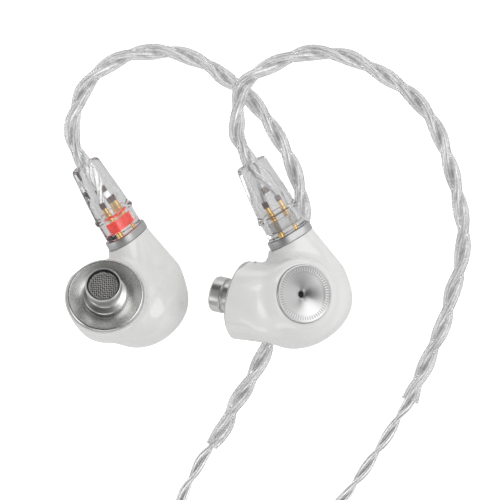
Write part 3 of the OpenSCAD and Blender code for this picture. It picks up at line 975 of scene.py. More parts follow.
@dataclass
class Routes:
    """Where the cords run, in millimetres before the shared middle is taken off."""

    coil: Tuple[float, float] = (6.0, -92.0)
    split_in: Tuple[float, float] = (11.1, -80.45)
    split_way: Tuple[float, float] = (-0.9397, -0.342)
    split_side: Tuple[float, float] = (-0.342, 0.9397)
    split_long: float = 15.0
    plug_top: float = 14.55
    boot: Tuple[float, float, float] = (0.0, -124.0, 3.6)
    hook_right: Points = (
        (-29.1, 17.2, 11.0), (-29.6, 20.2, 10.4), (-28.7, 24.0, 9.2), (-27.6, 26.8, 8.2), (-24.8, 30.0, 6.8),
        (-20.6, 32.4, 5.0), (-15.7, 33.2, 3.3), (-11.5, 32.8, 2.2), (-6.6, 30.7, 1.6), (-4.8, 29.3, 1.5),
        (-1.3, 26.8, 1.4), (1.8, 23.3, 1.4), (4.6, 19.1, 1.4), (6.8, 14.9, 1.4), (8.2, 10.7, 1.4),
        (8.9, 6.5, 1.4), (8.7, 3.7, 1.4), (7.7, 1.0, 1.4), (6.0, -1.7, 1.4), (4.4, -4.5, 1.4),
        (3.4, -7.3, 1.4),
        (3.1, -10.2, 1.4), (3.2, -13.0, 1.4), (2.9, -16.0, 1.4), (1.1, -19.9, 1.4), (-0.7, -23.2, 1.4),
        (-2.7, -26.1, 1.4), (-3.9, -29.1, 1.4), (-5.7, -31.8, 1.4), (-6.5, -32.9, 1.35))
    hook_left: Points = (
        (-1.2, 17.0, 9.2), (-2.2, 19.1, 8.9), (-2.1, 21.6, 7.9), (-1.9, 24.3, 6.8), (-1.3, 27.2, 5.6),
        (0.4, 29.0, 5.0), (3.2, 30.7, 4.1), (6.7, 32.2, 3.0), (10.6, 33.1, 2.1), (16.2, 32.4, 1.5),
        (19.0, 31.2, 1.4), (21.8, 29.7, 1.4), (26.8, 26.2, 1.4), (30.6, 21.6, 1.4), (33.1, 15.6, 1.4),
        (34.8, 9.3, 1.4), (35.8, 3.0, 1.4), (35.2, -3.0, 1.4), (33.8, -7.5, 1.4), (32.7, -11.7, 1.4),
        (30.6, -16.7, 1.4), (29.1, -20.2, 1.4), (27.6, -23.2, 1.4), (26.7, -25.5, 1.35))
    run_right: Points = (
        (-8.1, -35.1, 1.05), (-9.3, -37.4, 1.0), (-10.8, -40.1, 1.0), (-12.6, -45, 1.0), (-14.6, -49.5, 1.0),
        (-16.4, -54, 1.3), (-16.98, -58.0, 1.7), (-17.05, -60.6, 1.7), (-17.05, -72, 1.7),
        (-17.05, -80.5, 1.6),
        (-17.05, -84.5, 1.2), (-17.05, -87.5, 1.0))
    run_left: Points = (
        (25.2, -27.6, 1.1), (23.8, -30, 1.0), (22.3, -32.4, 1.0), (20.8, -34.5, 1.0), (19.3, -36.8, 1.0),
        (17.5, -39.2, 1.0), (16, -41.3, 1.0), (11, -45.9, 1.0), (5, -48.9, 1.0), (-2, -50.4, 1.0),
        (-8.5, -51.9, 1.0), (-13, -54.5, 1.3), (-14.9, -58.0, 1.7), (-15.1, -60.6, 1.7), (-15.1, -72, 1.7),
        (-15.1, -77, 1.7), (-15.1, -81, 1.4), (-15.1, -84, 1.0))
    main_start: Points = (
        (-5.9, -88.2, 2.7), (-6.9, -90.8, 2.85), (-7.2, -93.4, 3.0), (-6.7, -96.6, 3.15),
        (-5.1, -100.3, 3.25),
        (-2.6, -103.9, 3.3), (0.6, -107.0, 3.3))
    main_end: Points = (
        (-13.4, -91, 7.8), (-14.6, -95.6, 7.8), (-17, -100.6, 7.0), (-19, -106, 5.2), (-19.4, -111.4, 3.0),
        (-17.6, -116.6, 1.6), (-14.2, -120.6, 1.3), (-9.8, -123, 1.7), (-5.4, -123.9, 2.8), (-2.4, -124, 3.5))

    def hook(self, side: Side) -> np.ndarray:
        """The formed ear-hook part of a branch, from the plug's top."""
        ear = EAR_PLACE[side]
        top = ear.put(np.array([0, 0, self.plug_top]))
        points = self.hook_right if side is Side.RIGHT else self.hook_left
        return np.vstack([top, top + 1.2 * ear.rows[2], away(points)])

    def ring(self, radius: Callable[[float], float], height: Callable[[float], float], start: float,
             turns: float, step: float = 10.0) -> np.ndarray:
        """Points of a flat coil.

        Args:
            radius: the radius after a number of turns.
            height: the height after a number of turns.
            start: the first point's angle in degrees.
            turns: how many turns it makes.
            step: degrees between points.

        Returns:
            The points.
        """
        count = int(round(turns * 360 / step))
        rows = []
        for k in range(count + 1):
            t = turns * k / count
            a = math.radians(start) + 2 * math.pi * t
            rows.append([self.coil[0] + radius(t) * math.cos(a), self.coil[1] + radius(t) * math.sin(a),
                         height(t)])
        return np.array(rows)

    def branch(self, side: Side) -> np.ndarray:
        """The whole route of one branch, from its plug to the splitter."""
        right = side is Side.RIGHT
        run = self.run_right if right else self.run_left
        first = 23.05 if right else 21.1
        coil = self.ring(lambda t: first - 4.0 * t, lambda t: 1.0, 186.0, 1.545)
        entry, way, across = (np.array(v) for v in (self.split_in, self.split_way, self.split_side))
        offset = 0.95 if right else -0.95
        lead = [(17.4, -83.0, 1.0), (15.6, -81.8, 1.05), (13.9, -81.2, 1.9)]
        if right:
            lead = [(19.1, -82.0, 1.0), (17.0, -80.6, 1.0), (14.9, -79.6, 1.08), (13.3, -79.15, 1.9)]
        back = 1.2 if right else 1.4
        tail = [(*(entry - back * way + offset * across), 2.5), (*(entry + offset * across), 2.5)]
        return resampled(np.vstack([self.hook(side), away(run), away(coil), away(lead), away(tail)]), 0.5)

    def main(self) -> np.ndarray:
        """The whole route of the main cord, from the splitter to the jack's boot."""
        entry, way = np.array(self.split_in), np.array(self.split_way)
        out = entry + self.split_long * way
        start = [(*out, 2.5), (*(out + 1.4 * way), 2.55), *self.main_start]

        def climb(t: float, low: float, high: float, at: float, width: float = 0.08) -> float:
            """A soft step from low to high round a number of turns."""
            k = min(max((t - at) / width + 0.5, 0.0), 1.0)
            return low + (high - low) * k * k * (3 - 2 * k)

        def radius(t: float) -> float:
            """Radius after t turns: out on the first layer, in on the next, out on the last."""
            if t < 2.36:
                return 16.9 + (22.5 - 16.9) * t / 2.36
            if t < 4.72:
                return 22.5 - (22.5 - 17.2) * (t - 2.36) / 2.36
            return 17.2 + 2.2 * (t - 4.72) / 1.03

        def height(t: float) -> float:
            """Height after t turns, one layer upon another."""
            return climb(t, 3.2, 5.5, 2.36) if t < 3.5 else climb(t, 5.5, 7.8, 4.72)

        coil = self.ring(radius, height, 262.0, 5.74)
        return resampled(np.vstack([away(start), away(coil), away(self.main_end), away([self.boot])]), 0.6)


@dataclass
class Cable:
    """The cable: two branches with their ear hooks, a splitter, a slider, a main cord and a jack.

    Attributes:
        finishes: the object's finishes.
        routes: where the cords run.
        pair: how a branch is twisted.
        rope: how the main cord is twisted.
        sleeve_long: the ear-hook sleeve's width across both strands.
        sleeve_thick: its thickness.
    """

    finishes: Finishes
    routes: Routes = field(default_factory=Routes)
    pair: Twist = Twist(2, 0.465, 0.37, 0.465, 13.4)
    rope: Twist = Twist(4, 0.46, 0.30, 0.66, 17.0)
    sleeve_long: float = 2.76
    sleeve_thick: float = 1.86
    pieces: Dict[str, bpy.types.Object] = field(default_factory=dict)

    def branch(self, side: Side) -> bpy.types.Object:
        """One branch as a twisted pair."""
        path = self.routes.branch(side)
        cord = Cord(f"branch_cord_{side.value}", path, self.pair)
        piece = cord.build(self.finishes.jacket, self.finishes.strand)
        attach(piece, "cable")
        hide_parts(f"branch_{side.value}", "branch_coil")
        log.info("branch %s: %.3f m", side.value, length_of(path) * MM)
        return piece

    def sleeve(self, side: Side) -> bpy.types.Object:
        """The clear sleeve of one ear hook, which turns with the pair inside it."""
        path = self.routes.branch(side)
        far = np.concatenate([[0], np.cumsum(np.linalg.norm(np.diff(path, axis=0), axis=1))])
        end = length_of(resampled(self.routes.hook(side), 0.5))
        keep = far <= end
        path, far = path[keep], far[keep]
        u, v = carried_axes(path)
        outer: List[np.ndarray] = []
        inner: List[np.ndarray] = []
        for i in range(len(path)):
            a = 2 * math.pi * far[i] / self.pair.pitch
            along = math.cos(a) * u[i] + math.sin(a) * v[i]
            across = -math.sin(a) * u[i] + math.cos(a) * v[i]
            flare = 1.0 + 0.10 * math.exp(-((end - far[i]) / 0.7) ** 2)
            for bag, grow in ((outer, 0.0), (inner, 0.80)):
                oval = stadium((self.sleeve_long - grow) * flare, (self.sleeve_thick - grow) * flare, 32)
                bag.append(path[i] + np.outer(oval[:, 1], along) + np.outer(oval[:, 0], across))
        faces, ways = skinned(outer, False)
        more, more_ways = skinned(inner, False, len(outer) * 32)
        for k, f in enumerate(more):
            faces.append(f[::-1])
            ways.extend(more_ways[4 * k:4 * k + 4][::-1])
        n, m, last = 32, len(outer) * 32, (len(outer) - 1) * 32
        for k in range(n):
            j = (k + 1) % n
            faces.append([j, k, m + k, m + j])
            faces.append([last + k, last + j, m + last + j, m + last + k])
            ways.extend([(0.0, 0.0)] * 8)
        piece = mesh_object(f"ear_sleeve_{side.value}", np.vstack(outer + inner), faces,
                            [self.finishes.sleeve], ways)
        piece.data.set_sharp_from_angle(angle=math.radians(50))
        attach(piece, "cable")
        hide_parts(f"ear_guide_{side.value}")
        self.pieces[f"sleeve_{side.value}"] = piece
        return piece

    def main_cord(self) -> bpy.types.Object:
        """The main cord, four strands round each other, from the splitter to the jack."""
        path = self.routes.main()
        piece = Cord("main_cord_rope", path, self.rope, 8).build(self.finishes.jacket, self.finishes.strand)
        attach(piece, "cable")
        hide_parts("main_cord", "main_coil")
        tuple(path[0] * MM)
        [tuple(p * MM) for p in path]
        log.info("main cord: %.3f m", length_of(path) * MM)
        return piece

    def splitter(self) -> bpy.types.Object:
        """The metal barrel where the two branches become one cord."""
        centre = away([(*self.routes.split_in, 2.5)])[0]
        way = np.array([*self.routes.split_way, 0.0])
        side = np.array([*self.routes.split_side, 0.0])
        place = Place(centre, np.array([side, np.cross(way, side), way]))
        outline = [(2.1, 0.35), (2.1, 0), (2.3, 0), (2.5, 0.6), (2.5, 2.0), (2.38, 2.12), (2.38, 2.5),
                   (2.5, 2.62), (2.5, 12.4), (2.38, 12.5), (2.38, 12.9), (2.5, 13.0), (2.5, 14.4),
                   (2.3, 15), (1.3, 15), (1.3, 14.6),
                   (2.1, 14.2), (2.1, 0.9)]
        piece = turned("splitter_barrel", outline, place, self.finishes.metal, 0.08, 72)
        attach(piece, "cable")
        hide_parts("y_splitter")
        return piece

    def slider(self) -> bpy.types.Object:
        """The clear slider that draws the two branches together under the chin."""
        centre = away([(-16.075, -64.2, 1.7)])[0]
        place = Place(centre, np.array([[0, 0, 1.0], [1.0, 0, 0], [0, 1.0, 0]]))
        outer = rounded_rows(5.9, 3.3, -3, 3, 0.45)
        holes = [(3.88, 1.93, -2.98), (3.88, 1.93, 2.98)]
        piece = oval_stack("chin_slider_bead", outer, place, self.finishes.clear, holes, True)
        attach(piece, "chin_slider")
        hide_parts("chin_slider")
        return piece

    def jack(self) -> None:
        """The jack's clear boot and its metal grip."""
        place = Place(away([self.routes.boot])[0], np.array([[0, 0, -1.0], [0, 1.0, 0], [1.0, 0, 0]]))
        boot = [(0.0, 0.0), (1.35, 0.0), (1.7, 0.25), (1.9, 0.9)]
        for k in range(5):
            z, rib, groove = 1.1 + k * 0.8, 2.0 + 0.1 * k, 1.82 + 0.1 * k
            boot += [(rib, z), (rib, z + 0.45), (groove, z + 0.5), (groove, z + 0.72)]
        boot += [(2.48, 5.1), (2.48, 7.5), (0, 7.5)]
        piece = turned("jack_boot_clear", boot, place, self.finishes.clear, 0.08, 48)
        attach(piece, "cable")
        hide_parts("jack_boot")
        self.pieces["boot"] = piece
        e = 21.0
        grip = [(2.52, 5.0), (3.2, 5.0), (3.5, 5.4), (3.5, 8.0), (3.36, 8.15), (3.36, 8.6), (3.5, 8.75),
                (3.5, e - 1.4), (3.2, e - 1.0), (3.2, e), (2.0, e), (2.0, e - 3), (2.52, e - 3)]
        piece = turned("jack_grip_barrel", grip, place, self.finishes.metal, 0.1, 96)
        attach(piece, "cable")
        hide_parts("jack_grip")
        self.pieces["grip"] = piece

    def build(self) -> None:
        """Builds the cable's pieces in order."""
        self.jack()
        for side in Side:
            self.sleeve(side)
            self.branch(side)
        self.main_cord()
        self.splitter()
        self.slider()
        log.info("cable built")


# ------------------------------------------------------------------ earphones


class ShellForm:
    """The rounded solid that gives the shell its outside: blended bodies, as a signed distance."""

    body = ((0.7, -3.9, -11.7), (6.4, 8.2, 5.5))
    face = ((3.9, -5.2, -8.4), (2.7, 5.8, 5.8))
    pod = (-1.2, -12.4, -4.45)
    nose = (-0.6907, -0.4805, 0.5405)
    middle = (0.5, -5.0, -7.5)
    dish = (6.9, -5.6, -7.8)

    def smin(self, a: np.ndarray, b: np.ndarray, k: float) -> np.ndarray:
        """The lesser of two distances, blended over a width k."""
        h = np.clip(0.5 + 0.5 * (b - a) / k, 0, 1)
        return b * (1 - h) + a * h - k * h * (1 - h)

    def ball(self, p: np.ndarray, centre: Sequence[float], radii: Sequence[float]) -> np.ndarray:
        """Distance from a long ball."""
        q = p - np.array(centre)
        r = np.array(radii)
        k0 = np.linalg.norm(q / r, axis=1)
        return k0 * (k0 - 1) / (np.linalg.norm(q / (r * r), axis=1) + 1e-9)

    def horn(self, p: np.ndarray, a: Sequence[float], b: Sequence[float], ra: float, rb: float) -> np.ndarray:
        """Distance from a round-ended cone."""
        start, line = np.array(a), np.array(b) - np.array(a)
        t = np.clip((p - start) @ line / (line @ line), 0, 1)
        return np.linalg.norm(p - start - t[:, None] * line, axis=1) - ra - (rb - ra) * t

    def puck(self, p: np.ndarray, c: Sequence[float], r: float, h: float, e: float) -> np.ndarray:
        """Distance from a flat round boss with rounded edges."""
        u = np.hypot(p[:, 1] - c[1], p[:, 2] - c[2]) - r + e
        w = np.abs(p[:, 0] - c[0] + h) - h + e
        return np.hypot(np.maximum(u, 0), np.maximum(w, 0)) + np.minimum(np.maximum(u, w), 0) - e

    def distance(self, p: np.ndarray) -> np.ndarray:
        """Signed distance of points from the whole form."""
        q = np.column_stack([p[:, 0], p[:, 1], np.minimum(p[:, 2], 0)])
        body = self.smin(self.ball(p, *self.body), self.ball(p, *self.face), 2.0)
        back = np.array(self.pod) - np.array(self.nose) * 3.8
        pod = self.horn(p, self.pod, back, 6.75, 6.4)
        rear = self.horn(q, (0, 1.2, 0), (0.1, 1.0, -8), 2.75, 4.4)
        front = self.horn(q, (0, -1.2, 0), (-0.4, -5.0, -7), 2.75, 3.9)
        whole = self.smin(self.smin(body, pod, 2.0), self.smin(rear, front, 2.6), 2.4)
        flat = -self.smin(-whole, -(p[:, 0] - 6.3), 2.2)
        return self.smin(flat, self.puck(p, self.dish, 6.2, 2.4, 1.6), 1.6)

    def normals(self, p: np.ndarray) -> np.ndarray:
        """The way out of the form at each point."""
        e = 0.002
        out = np.zeros_like(p)
        for k in range(3):
            d = np.zeros(3)
            d[k] = e
            out[:, k] = self.distance(p + d) - self.distance(p - d)
        return out / np.maximum(np.linalg.norm(out, axis=1), 1e-12)[:, None]

    def skin(self, level: float, around: int, rows: int) -> Tuple[np.ndarray, List[List[int]]]:
        """A closed skin at a depth under the form.

        Args:
            level: the depth.
            around: points in each row.
            rows: rows from pole to pole.

        Returns:
            Points and faces.
        """
        ways = [(0.0, 0.0, -1.0)]
        for i in range(1, rows):
            h = math.pi * i / rows
            for j in range(around):
                turn = 2 * math.pi * j / around
                ways.append((math.sin(h) * math.cos(turn), math.sin(h) * math.sin(turn), -math.cos(h)))
        d = np.array(ways + [(0.0, 0.0, 1.0)])
        low, high = np.zeros(len(d)), np.full(len(d), 24.0)
        for _ in range(26):
            m = (low + high) / 2
            p = np.array(self.middle) + d * m[:, None]
            inside = np.maximum(self.distance(p), p[:, 2] - 0.8) + level < 0
            low, high = np.where(inside, m, low), np.where(inside, high, m)
        points = np.array(self.middle) + d * low[:, None]
        last = len(points) - 1
        faces = [[0, 1 + (j + 1) % around, 1 + j] for j in range(around)]
        for i in range(rows - 2):
            a = 1 + i * around
            b = a + around
            faces += [[a + j, a + (j + 1) % around, b + (j + 1) % around, b + j] for j in range(around)]
        a = 1 + (rows - 2) * around
        faces += [[a + j, a + (j + 1) % around, last] for j in range(around)]
        return points, faces


@dataclass
class Weave:
    """Woven wire cloth, made by a node tree.

    Attributes:
        radius: how far it reaches.
        pitch: distance between wires.
        wire: radius of a wire.
    """

    radius: float = 2.66
    pitch: float = 0.35
    wire: float = 0.078

    def tree(self, material: bpy.types.Material) -> bpy.types.GeometryNodeTree:
        """The node tree: two sets of wavy wires, cut to a disc."""
        g = bpy.data.node_groups.new("woven_wire", "GeometryNodeTree")
        for name, value in (("Radius", self.radius), ("Pitch", self.pitch), ("Wire", self.wire)):
            socket = g.interface.new_socket(name=name, in_out="INPUT", socket_type="NodeSocketFloat")
            socket.default_value = value
        g.interface.new_socket(name="Geometry", in_out="OUTPUT", socket_type="NodeSocketGeometry")

        def node(kind: str, settings: Optional[Dict[str, Setting]] = None,
                 inputs: Optional[Dict[Union[int, str], object]] = None) -> bpy.types.Node:
            """One node with its settings and sockets."""
            made = g.nodes.new(kind)
            for key, value in (settings or {}).items():
                setattr(made, key, value)
            for key, value in (inputs or {}).items():
                if isinstance(value, bpy.types.NodeSocket):
                    g.links.new(value, made.inputs[key])
                else:
                    made.inputs[key].default_value = value
            return made

        def calc(operation: str, a: object, b: object = 0.0) -> bpy.types.NodeSocket:
            """One sum on two numbers."""
            return node("ShaderNodeMath", {"operation": operation}, {0: a, 1: b}).outputs[0]

        given = node("NodeGroupInput")
        radius, pitch, wire = (given.outputs[n] for n in ("Radius", "Pitch", "Wire"))
        reach = calc("MULTIPLY", radius, 1.02)
        count = calc("ADD", calc("MULTIPLY", calc("FLOOR", calc("DIVIDE", reach, pitch)), 2.0), 1.0)
        first = calc("MULTIPLY", calc("FLOOR", calc("DIVIDE", reach, pitch)), -1.0)
        low = node("ShaderNodeCombineXYZ", None, {1: calc("MULTIPLY", first, pitch)}).outputs[0]
        step = node("ShaderNodeCombineXYZ", None, {1: pitch}).outputs[0]
        rows = node("GeometryNodeMeshLine", {"mode": "OFFSET"},
                    {"Count": count, "Start Location": low, "Offset": step}).outputs[0]
        near = node("ShaderNodeCombineXYZ", None, {0: calc("MULTIPLY", reach, -1.0)}).outputs[0]
        far = node("ShaderNodeCombineXYZ", None, {0: reach}).outputs[0]
        line = node("GeometryNodeCurvePrimitiveLine", None, {"Start": near, "End": far}).outputs[0]
        strung = node("GeometryNodeInstanceOnPoints", None, {"Points": rows, "Instance": line}).outputs[0]
        real = node("GeometryNodeRealizeInstances", None, {0: strung}).outputs[0]
        fine = node("GeometryNodeResampleCurve", None, {"Curve": real, "Count": 130}).outputs[0]
        sets = []
        for sign, turn in ((1.0, 0.0), (-1.0, math.pi / 2)):
            at = node("ShaderNodeSeparateXYZ", None, {0: node("GeometryNodeInputPosition").outputs[0]})
            phase = calc("DIVIDE", math.pi, pitch)
            wave = calc("MULTIPLY", calc("COSINE", calc("MULTIPLY", at.outputs[0], phase)),
                        calc("COSINE", calc("MULTIPLY", at.outputs[1], phase)))
            lift = node("ShaderNodeCombineXYZ", None,
                        {2: calc("MULTIPLY", calc("MULTIPLY", wave, wire), sign * 0.95)}).outputs[0]
            waved = node("GeometryNodeSetPosition", None, {0: fine, "Offset": lift}).outputs[0]
            square = calc("ADD", calc("MULTIPLY", at.outputs[0], at.outputs[0]),
                          calc("MULTIPLY", at.outputs[1], at.outputs[1]))
            beyond = calc("GREATER_THAN", square, calc("MULTIPLY", radius, radius))
            cut = node("GeometryNodeDeleteGeometry", {"domain": "POINT"},
                       {0: waved, "Selection": beyond}).outputs[0]
            sets.append(node("GeometryNodeTransform", None,
                             {"Geometry": cut, "Rotation": (0, 0, turn)}).outputs[0])
        both = node("GeometryNodeJoinGeometry")
        for s in sets:
            g.links.new(s, both.inputs[0])
        profile = node("GeometryNodeCurvePrimitiveCircle", None, {"Resolution": 6, "Radius": wire}).outputs[0]
        solid = node("GeometryNodeCurveToMesh", None,
                     {"Curve": both.outputs[0], "Profile Curve": profile, "Fill Caps": True}).outputs[0]
        plain = node("GeometryNodeRealizeInstances", None, {0: solid}).outputs[0]
        dressed = node("GeometryNodeSetMaterial", None, {0: plain, "Material": material}).outputs[0]
        node("NodeGroupOutput", None, {0: dressed})
        return g

    def build(self, name: str, place: Place, material: bpy.types.Material) -> bpy.types.Object:
        """The woven disc as a plain mesh.

        Args:
            name: the piece's name.
            place: the frame whose z is the disc's axis.
            material: its finish.

        Returns:
            The piece.
        """
        mesh = bpy.data.meshes.new(name)
        thing = bpy.data.objects.new(name, mesh)
        bpy.context.scene.collection.objects.link(thing)
        modifier = thing.modifiers.new("weave", "NODES")
        modifier.node_group = self.tree(material)
        settle(thing)
        count = len(thing.data.vertices)
        at = np.empty(count * 3, np.float32)
        thing.data.vertices.foreach_get("co", at)
        moved = place.put(at.reshape(-1, 3)) * MM
        thing.data.vertices.foreach_set("co", moved.astype(np.float32).ravel())
        if place.mirrored:
            thing.data.flip_normals()
        thing.data.polygons.foreach_set("use_smooth", np.ones(len(thing.data.polygons), bool))
        if not thing.data.materials:
            thing.data.materials.append(material)
        thing.data.update()
        return thing


@dataclass
class Earphone:
    """One earphone and the plug that goes into it.

    Attributes:
        side: which ear.
        finishes: the object's finishes.
        plate_r: radius of the round plate round the nozzle.
        lip_r: radius of the lip that holds the ear tip.
        neck_r: radius of the neck behind it.
        nozzle_out: how far the lip stands out.
        dish_r: radius of the dish plate.
        collar_h: height of the collar.
        plug_top: height of the plug's top.
        pin_gap: distance between the pins.
    """

    side: Side
    finishes: Finishes
    plate_r: float = 6.45
    lip_r: float = 3.0
    neck_r: float = 2.6
    nozzle_out: float = 5.0
    dish_r: float = 4.9
    collar_h: float = 1.35
    plug_top: float = 14.55
    pin_gap: float = 2.4

    def __post_init__(self) -> None:
        """Works out the frames of the nozzle and the dish."""
        self.form = ShellForm()
        self.ear = EAR_PLACE[self.side]
        self.nose = self.ear.inner(self.form.pod, tilt_rows(57.28, -145.2))
        self.dish = self.ear.inner(self.form.dish, tilt_rows(90.0, 0.0))
        self.body = "earphone_left" if self.side is Side.LEFT else "earphone_right"

    def named(self, stem: str) -> str:
        """A piece's name with its side."""
        return f"{stem}_{self.side.value}"

    def stands_for(self, piece: bpy.types.Object, node: str,
                   body: Optional[str] = None) -> bpy.types.Object:
        """Fastens a piece to its body, in place of a node.

        Args:
            piece: the piece.
            node: the node's name without its side.
            body: the body, if it isn't the earphone.

        Returns:
            The piece.
        """
        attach(piece, body or self.body)
        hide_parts(self.named(node))
        log.info("built %s", piece.name)
        return piece

    def cutter(self, points: np.ndarray, faces: Faces) -> bpy.types.Object:
        """A hidden solid that is cut out of the shell."""
        return mesh_object(self.named("cutter"), points, faces, [])

    def disc_cutter(self, rows: np.ndarray, origin: Sequence[float], radius: float, low: float,
                    high: float) -> bpy.types.Object:
        """A round solid to cut with, in the earphone's own frame."""
        a = np.arange(96) * 2 * math.pi / 96
        x, y = radius * np.cos(a), radius * np.sin(a)
        rings = [np.column_stack([x, y, np.full(96, z)]) @ rows + np.array(origin) for z in (low, high)]
        faces, _ = skinned(rings, True)
        return self.cutter(np.vstack(rings), faces)

    def shell(self) -> None:
        """The moulded shell with its seats and its hollow."""
        outer, faces = self.form.skin(0.0, 176, 112)
        piece = mesh_object(self.named("moulded_shell"), outer, faces, [self.finishes.pearl])
        inner, inner_faces = self.form.skin(1.15, 72, 44)
        cutters = [self.cutter(inner, inner_faces)]
        nose_rows, dish_rows = tilt_rows(57.28, -145.2), tilt_rows(90.0, 0.0)
        for radius, low, high in ((12.0, 0.0, 9.0), (self.plate_r + 0.02, -1.3, 1.0), (5.2, -3.2, 1.0),
                                  (4.35, -5.0, 1.0)):
            cutters.append(self.disc_cutter(nose_rows, self.form.pod, radius, low, high))
        for radius, low, high in ((self.dish_r + 0.03, -0.7, 3.0), (3.2, -4.5, 3.0)):
            cutters.append(self.disc_cutter(dish_rows, self.form.dish, radius, low, high))
        cutters.append(self.disc_cutter(np.eye(3), (0, 0, 0), 9.0, 0.0, 4.0))
        slot = [np.column_stack([stadium(6.0, 3.9), np.full(72, z)]) for z in (-3.3, 1.0)]
        cutters.append(self.cutter(np.vstack(slot), skinned(slot, True)[0]))
        for tool in cutters:
            cut = piece.modifiers.new("cut", "BOOLEAN")
            cut.operation, cut.solver, cut.object = "DIFFERENCE", "MANIFOLD", tool
        settle(piece)
        for tool in cutters:
            bpy.data.objects.remove(tool)
        self.shade_shell(piece)
        self.stands_for(piece, "shell")

    def shade_shell(self, piece: bpy.types.Object) -> None:
        """Moves the shell into place and gives its outside the form's own normals."""
        mesh = piece.data
        at = np.empty(len(mesh.vertices) * 3, np.float32)
        mesh.vertices.foreach_get("co", at)
        local = at.reshape(-1, 3).astype(float) / MM
        mesh.vertices.foreach_set("co", (self.ear.put(local) * MM).astype(np.float32).ravel())
        if self.ear.mirrored:
            mesh.flip_normals()
        mesh.update()
        mesh.polygons.foreach_set("use_smooth", np.ones(len(mesh.polygons), bool))
        on_form = np.abs(self.form.distance(local)) < 0.02
        smooth = self.form.normals(local) @ self.ear.rows
        face_normals = np.empty(len(mesh.polygons) * 3, np.float32)
        mesh.polygons.foreach_get("normal", face_normals)
        face_normals = face_normals.reshape(-1, 3).astype(float)
        counts = np.empty(len(mesh.polygons), np.int32)
        mesh.polygons.foreach_get("loop_total", counts)
        corners = np.empty(len(mesh.loops), np.int32)
        mesh.loops.foreach_get("vertex_index", corners)
        own = np.repeat(face_normals, counts, axis=0)
        use = on_form[corners] & (np.einsum("ij,ij->i", smooth[corners], own) > 0.9)
        final = np.where(use[:, None], smooth[corners], own)
        mesh.normals_split_custom_set([tuple(n) for n in final])

    def nozzle(self) -> None:
        """The plate, the nozzle, its woven mesh, the ring that holds it, and a black disc under the mesh as
        painted shade for the bore.
        """
        r, n, p, h = self.plate_r, self.neck_r, self.lip_r, self.nozzle_out
        plate = [(3.3, -1.3), (r, -1.3), (r, 0.08), (r - 0.08, 0.3), (r - 0.22, 0.45), (r - 0.42, 0.52)]
        for k in range(1, 13):
            q = k / 12
            plate.append((r - 0.42 - 2.3 * q, -0.42 + 0.94 * (1 - q) ** 1.7))
        plate += [(3.3, -0.42)]
        self.stands_for(turned(self.named("nozzle_plate_turned"), plate, self.nose, self.finishes.metal,
                               0.1, 128), "nozzle_plate")
        tube = [(2.2, -1.85), (3.8, -1.85), (3.8, -1.3), (3.28, -1.3), (3.28, -0.3), (3.60, -0.25),
                (3.66, -0.1), (3.66, 0.62), (3.52, 0.85), (2.95, 1.0), (n, 1.12), (n, 2.9),
                (p - 0.06, 3.0), (p, 3.1), (p, h - 0.3),
                (p - 0.14, h), (2.74, h), (2.70, h - 0.75), (2.2, h - 0.75)]
        self.stands_for(turned(self.named("nozzle_turned"), tube, self.nose, self.finishes.lip, 0.06, 128),
                        "nozzle")
        ring = [(2.42, h - 0.62), (2.69, h - 0.62), (2.69, h - 0.22), (2.58, h - 0.22)]
        self.stands_for(turned(self.named("mesh_ring_black"), ring, self.nose, self.finishes.black, 0.04, 96),
                        "mesh_ring")
        cloth = self.nose.inner((0, 0, h - 0.66), tilt_rows(0.0, 30.0))
        weave = Weave().build(self.named("woven_mesh"), cloth, self.finishes.weave)
        self.stands_for(weave, "nozzle_mesh")
        # A black disc under the mesh: painted shade, standing for the dark bore behind it.
        dark = [(0.0, h - 1.2), (2.18, h - 1.2), (2.18, h - 1.05), (0.0, h - 1.05)]
        back = turned(self.named("black_shade_disc"), dark, self.nose, self.finishes.fabric, 0.02, 64)
        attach(back, self.body)

    def dish_plate(self) -> None:
        """The cone-shaped plate on the outside, with its vent hole."""
        r = self.dish_r
        cone = [(0.45, -1.05)]
        for k in range(1, 17):
            q = k / 16
            cone.append((0.45 + 3.15 * q, -1.05 + 1.29 * q ** 0.58))
        rim = [(3.8, 0.30), (4.3, 0.39), (4.52, 0.44), (r - 0.2, 0.5), (r - 0.06, 0.44), (r, 0.34), (r, -0.7)]
        outline = cone + rim + [(3.15, -0.7), (3.15, -1.3), (0.45, -1.3)]
        self.stands_for(turned(self.named("dish_plate_turned"), outline, self.dish, self.finishes.dish,
                               0.05, 144), "dish_plate")

    def collar(self) -> None:
        """The oval metal collar on the barrel's mouth."""
        outer = rounded_rows(8.1, 5.9, 0.0, self.collar_h, 0.16)
        inner = [(6.0, 3.9, 0.02), (6.0, 3.9, self.collar_h - 0.02)]
        self.stands_for(oval_stack(self.named("collar_oval"), outer, self.ear, self.finishes.collar,
                                   inner, True), "collar")

